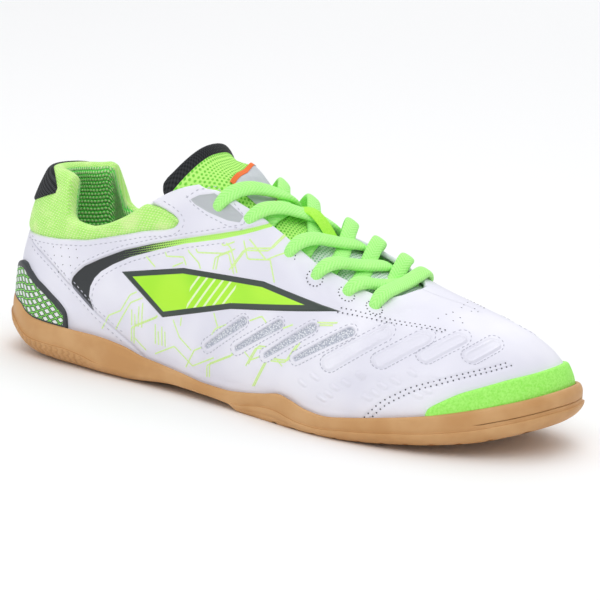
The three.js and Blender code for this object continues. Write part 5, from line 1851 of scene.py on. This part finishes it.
@dataclass
class Sole:
    """Gum cup sole: side wall with ledge, lip and slit, and the treaded underside."""

    shoe: Shoe = field(default_factory=lambda: SHOE)
    around: int = 900
    pitch: float = 11.0
    groove: float = 2.2
    depth: float = 1.6
    pivot: float = 18.0
    # along, ledge as a share of the wall's height
    ledge_rows: tuple = (
        (0, 0.62), (0.045, 0.58), (0.067, 0.5), (0.09, 0.47), (0.165, 0.48), (0.206, 0.4), (0.238, 0.3),
        (0.3, 0.3), (0.505, 0.3), (0.52, 0.36), (0.57, 0.5), (0.6, 0.45), (0.64, 0.37), (0.665, 0.37),
        (0.725, 0.46), (0.79, 0.45), (0.87, 0.43), (1, 0.44),
    )
    # up the wall, share of the bevel below the ledge and of the side step above it
    tuck_rows: tuple = ((0, 1), (0.1, 0.72), (0.3, 0.4), (0.55, 0.16), (0.8, 0.03), (1, 0))
    step_rows: tuple = ((1, 0), (1.015, 0.8), (1.05, 1.0), (1.4, 0.75), (1.7, 0.6), (1.88, 0.75),
                        (1.96, 1.3), (2, 2.0))
    # how far the lip turns in over the rim and how far it drops there
    lip_rows: tuple = ((0.3, 0.15), (0.7, 0.6), (1.0, 1.6), (1.1, 4.0))

    def inset(self, station: Array, level: Array | float) -> Array:
        """How far the wall is drawn in: a little more at the heel's rim, and out at the toe."""
        share = self.shoe.last.flare(station)
        toe = -6.5 * np.interp(level, (0, 0.39, 0.8, 1), (1, 1, 0.7, 0.2))
        return share * np.where(station < 0.5, 0.9 + 0.5 * smooth_step(level, 0.7, 1.0), toe)

    def make(self) -> Piece:
        """Build the wall: a tucked lower part up to the ledge, the part above it, and the lip.

        A row's place runs from 0 at the floor over 1 at the ledge to 2 at the rim.
        """
        last = self.shoe.last
        turn = np.linspace(0, 1, self.around, endpoint=False)
        edge_x = last.plan(turn)[0]
        station = last.share(edge_x)
        rim = last.rim(station)
        ledge = Curve(*columns(self.ledge_rows))(station)
        shelf = 1 - smooth_step(station, 0.22, 0.27) * (1 - smooth_step(station, 0.505, 0.52))
        slit_zone = smooth_step(station, 0.915, 0.93)
        hump = smooth_step(station, 0.51, 0.53) * (1 - smooth_step(station, 0.62, 0.7))
        tuck, step = Curve(*columns(self.tuck_rows)), Curve(*columns(self.step_rows))
        place = np.concatenate([np.linspace(0, 1, 16), [1.008, 1.02, 1.05, 1.1, 1.16, 1.2, 1.21, 1.24, 1.25],
                                np.linspace(1.32, 1.88, 7), [1.93, 1.97, 2.0]])
        heel = 1 - smooth_step(station, 0.2, 0.25)
        run = np.cumsum(np.hypot(*np.gradient(np.stack(last.plan(turn)), axis=1)))
        rows, groove, slit = [], [], []
        for t in place:
            level = ledge * min(t, 1.0) + (1 - ledge) * max(t - 1, 0.0)
            cut = slit_zone if 1.205 < t < 1.245 else 0.0 * station
            zig = np.sin((run + 1.5 * abs((t * 6) % 2 - 1)) * 2 * np.pi / 3.4) > 0
            pattern = zig * heel * (0.06 < t < 0.95)
            line = bell(t, 0.5, 0.09) * hump
            notch = (smooth_step(station, 0.56, 0.6) * np.exp(-(np.mod(edge_x, self.pitch) - 5) ** 2 / 0.9)
                     * (1 - smooth_step(t, 0.0, 0.3)))
            step_in = step(t) * last.side_step * np.maximum(shelf, smooth_step(t, 1.6, 1.9))
            inset = (tuck(t) * last.bevel(station) * last.sole_bevel + step_in + self.inset(station, level)
                     + cut * 1.3 + 0.4 * pattern + 0.35 * line + 1.2 * notch)
            x, y = last.plan(turn, inset)
            low = last.underside(last.share(x))
            rows.append(np.stack([x, y, low + level * (rim - low)], -1))
            # groove carries painted shade: the zigzag, notches, line and the step under the ledge are painted
            # darker; slit carries painted shade inside the slit
            marks = 0.5 * pattern + 0.4 * notch + 0.35 * line
            groove.append(np.maximum(0.55 * shelf * (1.0 < t < 1.03), marks))
            slit.append(cut)
        for more, drop in self.lip_rows:
            x, y = last.plan(turn, inset + more)
            rows.append(np.stack([x, y, rim - drop], -1))
            groove.append(0 * station)
            slit.append(0 * station)
        points = np.stack(rows)
        layers = {"groove": np.stack(groove), "slit": np.stack(slit)}
        return build("outsole_side", points, grid_faces(*points.shape[:2], close_cols=True), GUM, layers)

    def floor_edge(self, turn: Array) -> Array:
        """Plan points of the underside's edge."""
        last = self.shoe.last
        station = last.share(last.plan(turn)[0])
        return np.stack(last.plan(turn, last.bevel(station) * last.sole_bevel + self.inset(station, 0.0)), -1)

    def bottom(self) -> Piece:
        """Underside as a grid of cross lines between the two edges, grooved by the tread."""
        last = self.shoe.last
        across, along = 150, 520
        station = cosine_spaced(along)
        t, plan = between(self.floor_edge(last.turn_at(station, -1)),
                          self.floor_edge(last.turn_at(station, 1)), across)
        x, y = plan[..., 0], plan[..., 1]
        share = last.share(x)
        low = last.underside(share)
        band = np.abs(np.mod(x - 0.05 * last.length + self.pitch / 2, self.pitch) - self.pitch / 2)
        bars = (1 - smooth_step(band, self.groove / 2 - 0.3, self.groove / 2 + 0.3))
        bars *= (share > 0.04) * (share < 0.94) * ((share < 0.3) | (share > 0.52))
        ring = np.abs(np.hypot(x - 0.7 * last.length, y) - self.pivot)
        bars = np.maximum(bars, 1 - smooth_step(ring, self.groove / 2 - 0.3, self.groove / 2 + 0.3))
        border = np.minimum(t, 1 - t) * 90
        bars *= smooth_step(border, 0.0, 1.5)
        points = np.stack([x, y, low + bars * self.depth], -1)
        # the tread's grooves carry painted shade
        layers = {"groove": bars * 0.8, "slit": np.zeros(bars.shape)}
        return build("outsole_tread", points, grid_faces(across, along), GUM, layers)

    def footbed(self) -> Piece:
        """Footbed: a grid of cross lines, dished a little, with a turned edge."""
        last = self.shoe.last
        across, along = 60, 240
        inset = last.rim_width + self.shoe.wall + 0.8
        station = cosine_spaced(along)
        a = np.stack(last.plan(last.turn_at(station, -1), inset), -1)
        b = np.stack(last.plan(last.turn_at(station, 1), inset), -1)
        t, plan = between(a, b, across)
        share = last.share(last.plan(last.turn_at(station, -1))[0])
        dish = 1.6 * (np.abs(2 * t - 1) ** 4)
        z = last.stack(share)[None] * last.heel_stack + 3.9 + dish
        points = np.concatenate([plan, z[..., None]], -1)
        return build("insole", points, grid_faces(across, along), FOAM, flip=True)


# Stage


@dataclass
class Studio:
    """Camera, floor and lights."""

    azimuth: float = 30.6
    elevation: float = 12.7
    roll: float = 4.4
    distance: float = 1300.0
    focal_pixels: float = 2863.4
    frame_pixels: float = 600.0
    target: tuple = (147.2, 9.6, 43.0)

    def camera(self) -> None:
        """Place the camera: back along the view from the target, then rolled."""
        a, e = math.radians(self.azimuth), math.radians(self.elevation)
        back = Vector((math.sin(a) * math.cos(e), -math.cos(a) * math.cos(e), math.sin(e)))
        forward = -back
        right = forward.cross(Vector((0, 0, 1))).normalized()
        up = right.cross(forward)
        turn = math.radians(self.roll)
        r = right * math.cos(turn) + up * math.sin(turn)
        u = up * math.cos(turn) - right * math.sin(turn)
        target = Vector(PLACE.metres(np.array(self.target)))
        data = bpy.data.cameras.new("camera")
        data.sensor_width = 36.0
        data.lens = self.focal_pixels / self.frame_pixels * data.sensor_width
        data.clip_start, data.clip_end = 0.05, 20.0
        camera = bpy.data.objects.new("camera", data)
        rotation = Matrix((r, u, back)).transposed().to_4x4()
        camera.matrix_world = Matrix.Translation(target + back * self.distance / 1000) @ rotation
        bpy.context.scene.collection.objects.link(camera)
        bpy.context.scene.camera = camera

    def area(self, name: str, place: tuple, aim: tuple, size: float, power: float) -> None:
        """A square soft light."""
        data = bpy.data.lights.new(name, "AREA")
        data.size, data.energy = size, power
        light = bpy.data.objects.new(name, data)
        light.location = place
        light.rotation_euler = (Vector(aim) - Vector(place)).to_track_quat("-Z", "Y").to_euler()
        bpy.context.scene.collection.objects.link(light)

    def build(self) -> None:
        """Floor, world and lights."""
        self.camera()
        scene = bpy.context.scene
        scene.view_settings.view_transform = "Standard"
        world = bpy.data.worlds.new("studio")
        scene.world = world
        world.use_nodes = True
        world.node_tree.nodes["Background"].inputs[0].default_value = (0.97, 0.98, 1.0, 1)
        world.node_tree.nodes["Background"].inputs[1].default_value = 0.56
        n = Nodes("floor")
        n.finish(Base_Color=(0.95, 0.95, 0.95), Roughness=0.9, Specular_IOR_Level=0.1)
        mesh = bpy.data.meshes.new("floor")
        r = 6.0
        mesh.from_pydata([(-r, -r, 0), (r, -r, 0), (r, r, 0), (-r, r, 0)], [], [(0, 1, 2, 3)])
        mesh.materials.append(n.material)
        floor = bpy.data.objects.new("floor", mesh)
        scene.collection.objects.link(floor)
        shoe = (0, 0, 0.04)
        self.area("key", (0.5, -0.9, 1.4), shoe, 1.2, 9.68)
        self.area("fill", (-0.9, -1.0, 0.9), shoe, 1.4, 3.08)
        self.area("top", (0.0, 0.4, 1.6), shoe, 1.2, 5.28)
        self.area("back", (-1.0, 2.6, 1.9), (-0.7, 1.9, 0.0), 3.0, 29.9)


def main() -> None:
    """Load the frame, build each sub-assembly in order and dress it."""
    global PLACE
    logging.basicConfig(level=logging.INFO, format="%(message)s")
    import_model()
    PLACE = Placement.from_frame(LAST)
    Studio().build()
    sole = Sole()
    declare(sole.make(), "gum_rubber", "outsole")
    declare(sole.bottom(), "gum_rubber")
    declare(sole.footbed(), "grey_foam", "insole")
    upper = Upper()
    declare(upper.half(-1), "white_hide", "upper", "saddle_lateral")
    declare(upper.half(1), "white_hide", "saddle_medial")
    for side in (-1, 1):
        trim = Trim(upper, side)
        for make in (trim.stitches, trim.toe_stitches, trim.print_lines, trim.panel):
            declare(make(), "white_hide")
    wrap = Last.turn_of(COUNTER_END)
    counter = RimOverlay("heel_counter", -wrap, wrap, COUNTER_ROWS, 18.5, 1.7, LATTICE)
    declare(counter.make(), "dark_film", "heel_counter")
    wrap = Last.turn_of(GUARD_START)
    guard = RimOverlay("toe_guard", wrap, 1 - wrap, GUARD_ROWS, 8.7, 1.9, GUARD)
    declare(guard.make(), "lime_foam", "toe_guard")
    cuff = Cuff()
    piece = declare(cuff.make(), "lime_knit", "collar_cuff")
    declare(cuff.tab(), "dark_knit", "heel_tab")
    declare(cuff.lining(), "lime_knit")
    tongue = Tongue()
    piece = declare(tongue.make(), "lime_mesh", "tongue")
    declare(tongue.plate("tongue_label", 0.675, 0.824, 12.0, 0.1, 0.9, LABEL), "grey_film", "tongue_label")
    declare(tongue.plate("label_edge", 0.82, 0.838, 12.2, 0.1, 1.2, ORANGE), "grey_film")
    declare(tongue.plate("label_hem", 0.658, 0.678, 12.2, 0.1, 1.2, ORANGE), "grey_film")
    declare(tongue.plate("lace_keeper", 0.4, 0.61, 4.5, 0.3, 1.5, TAPE, 6.0), "keeper_tape", "lace_keeper")
    declare(Laces().make(), "lace_cord", "laces")


if __name__ == "__main__":
    main()
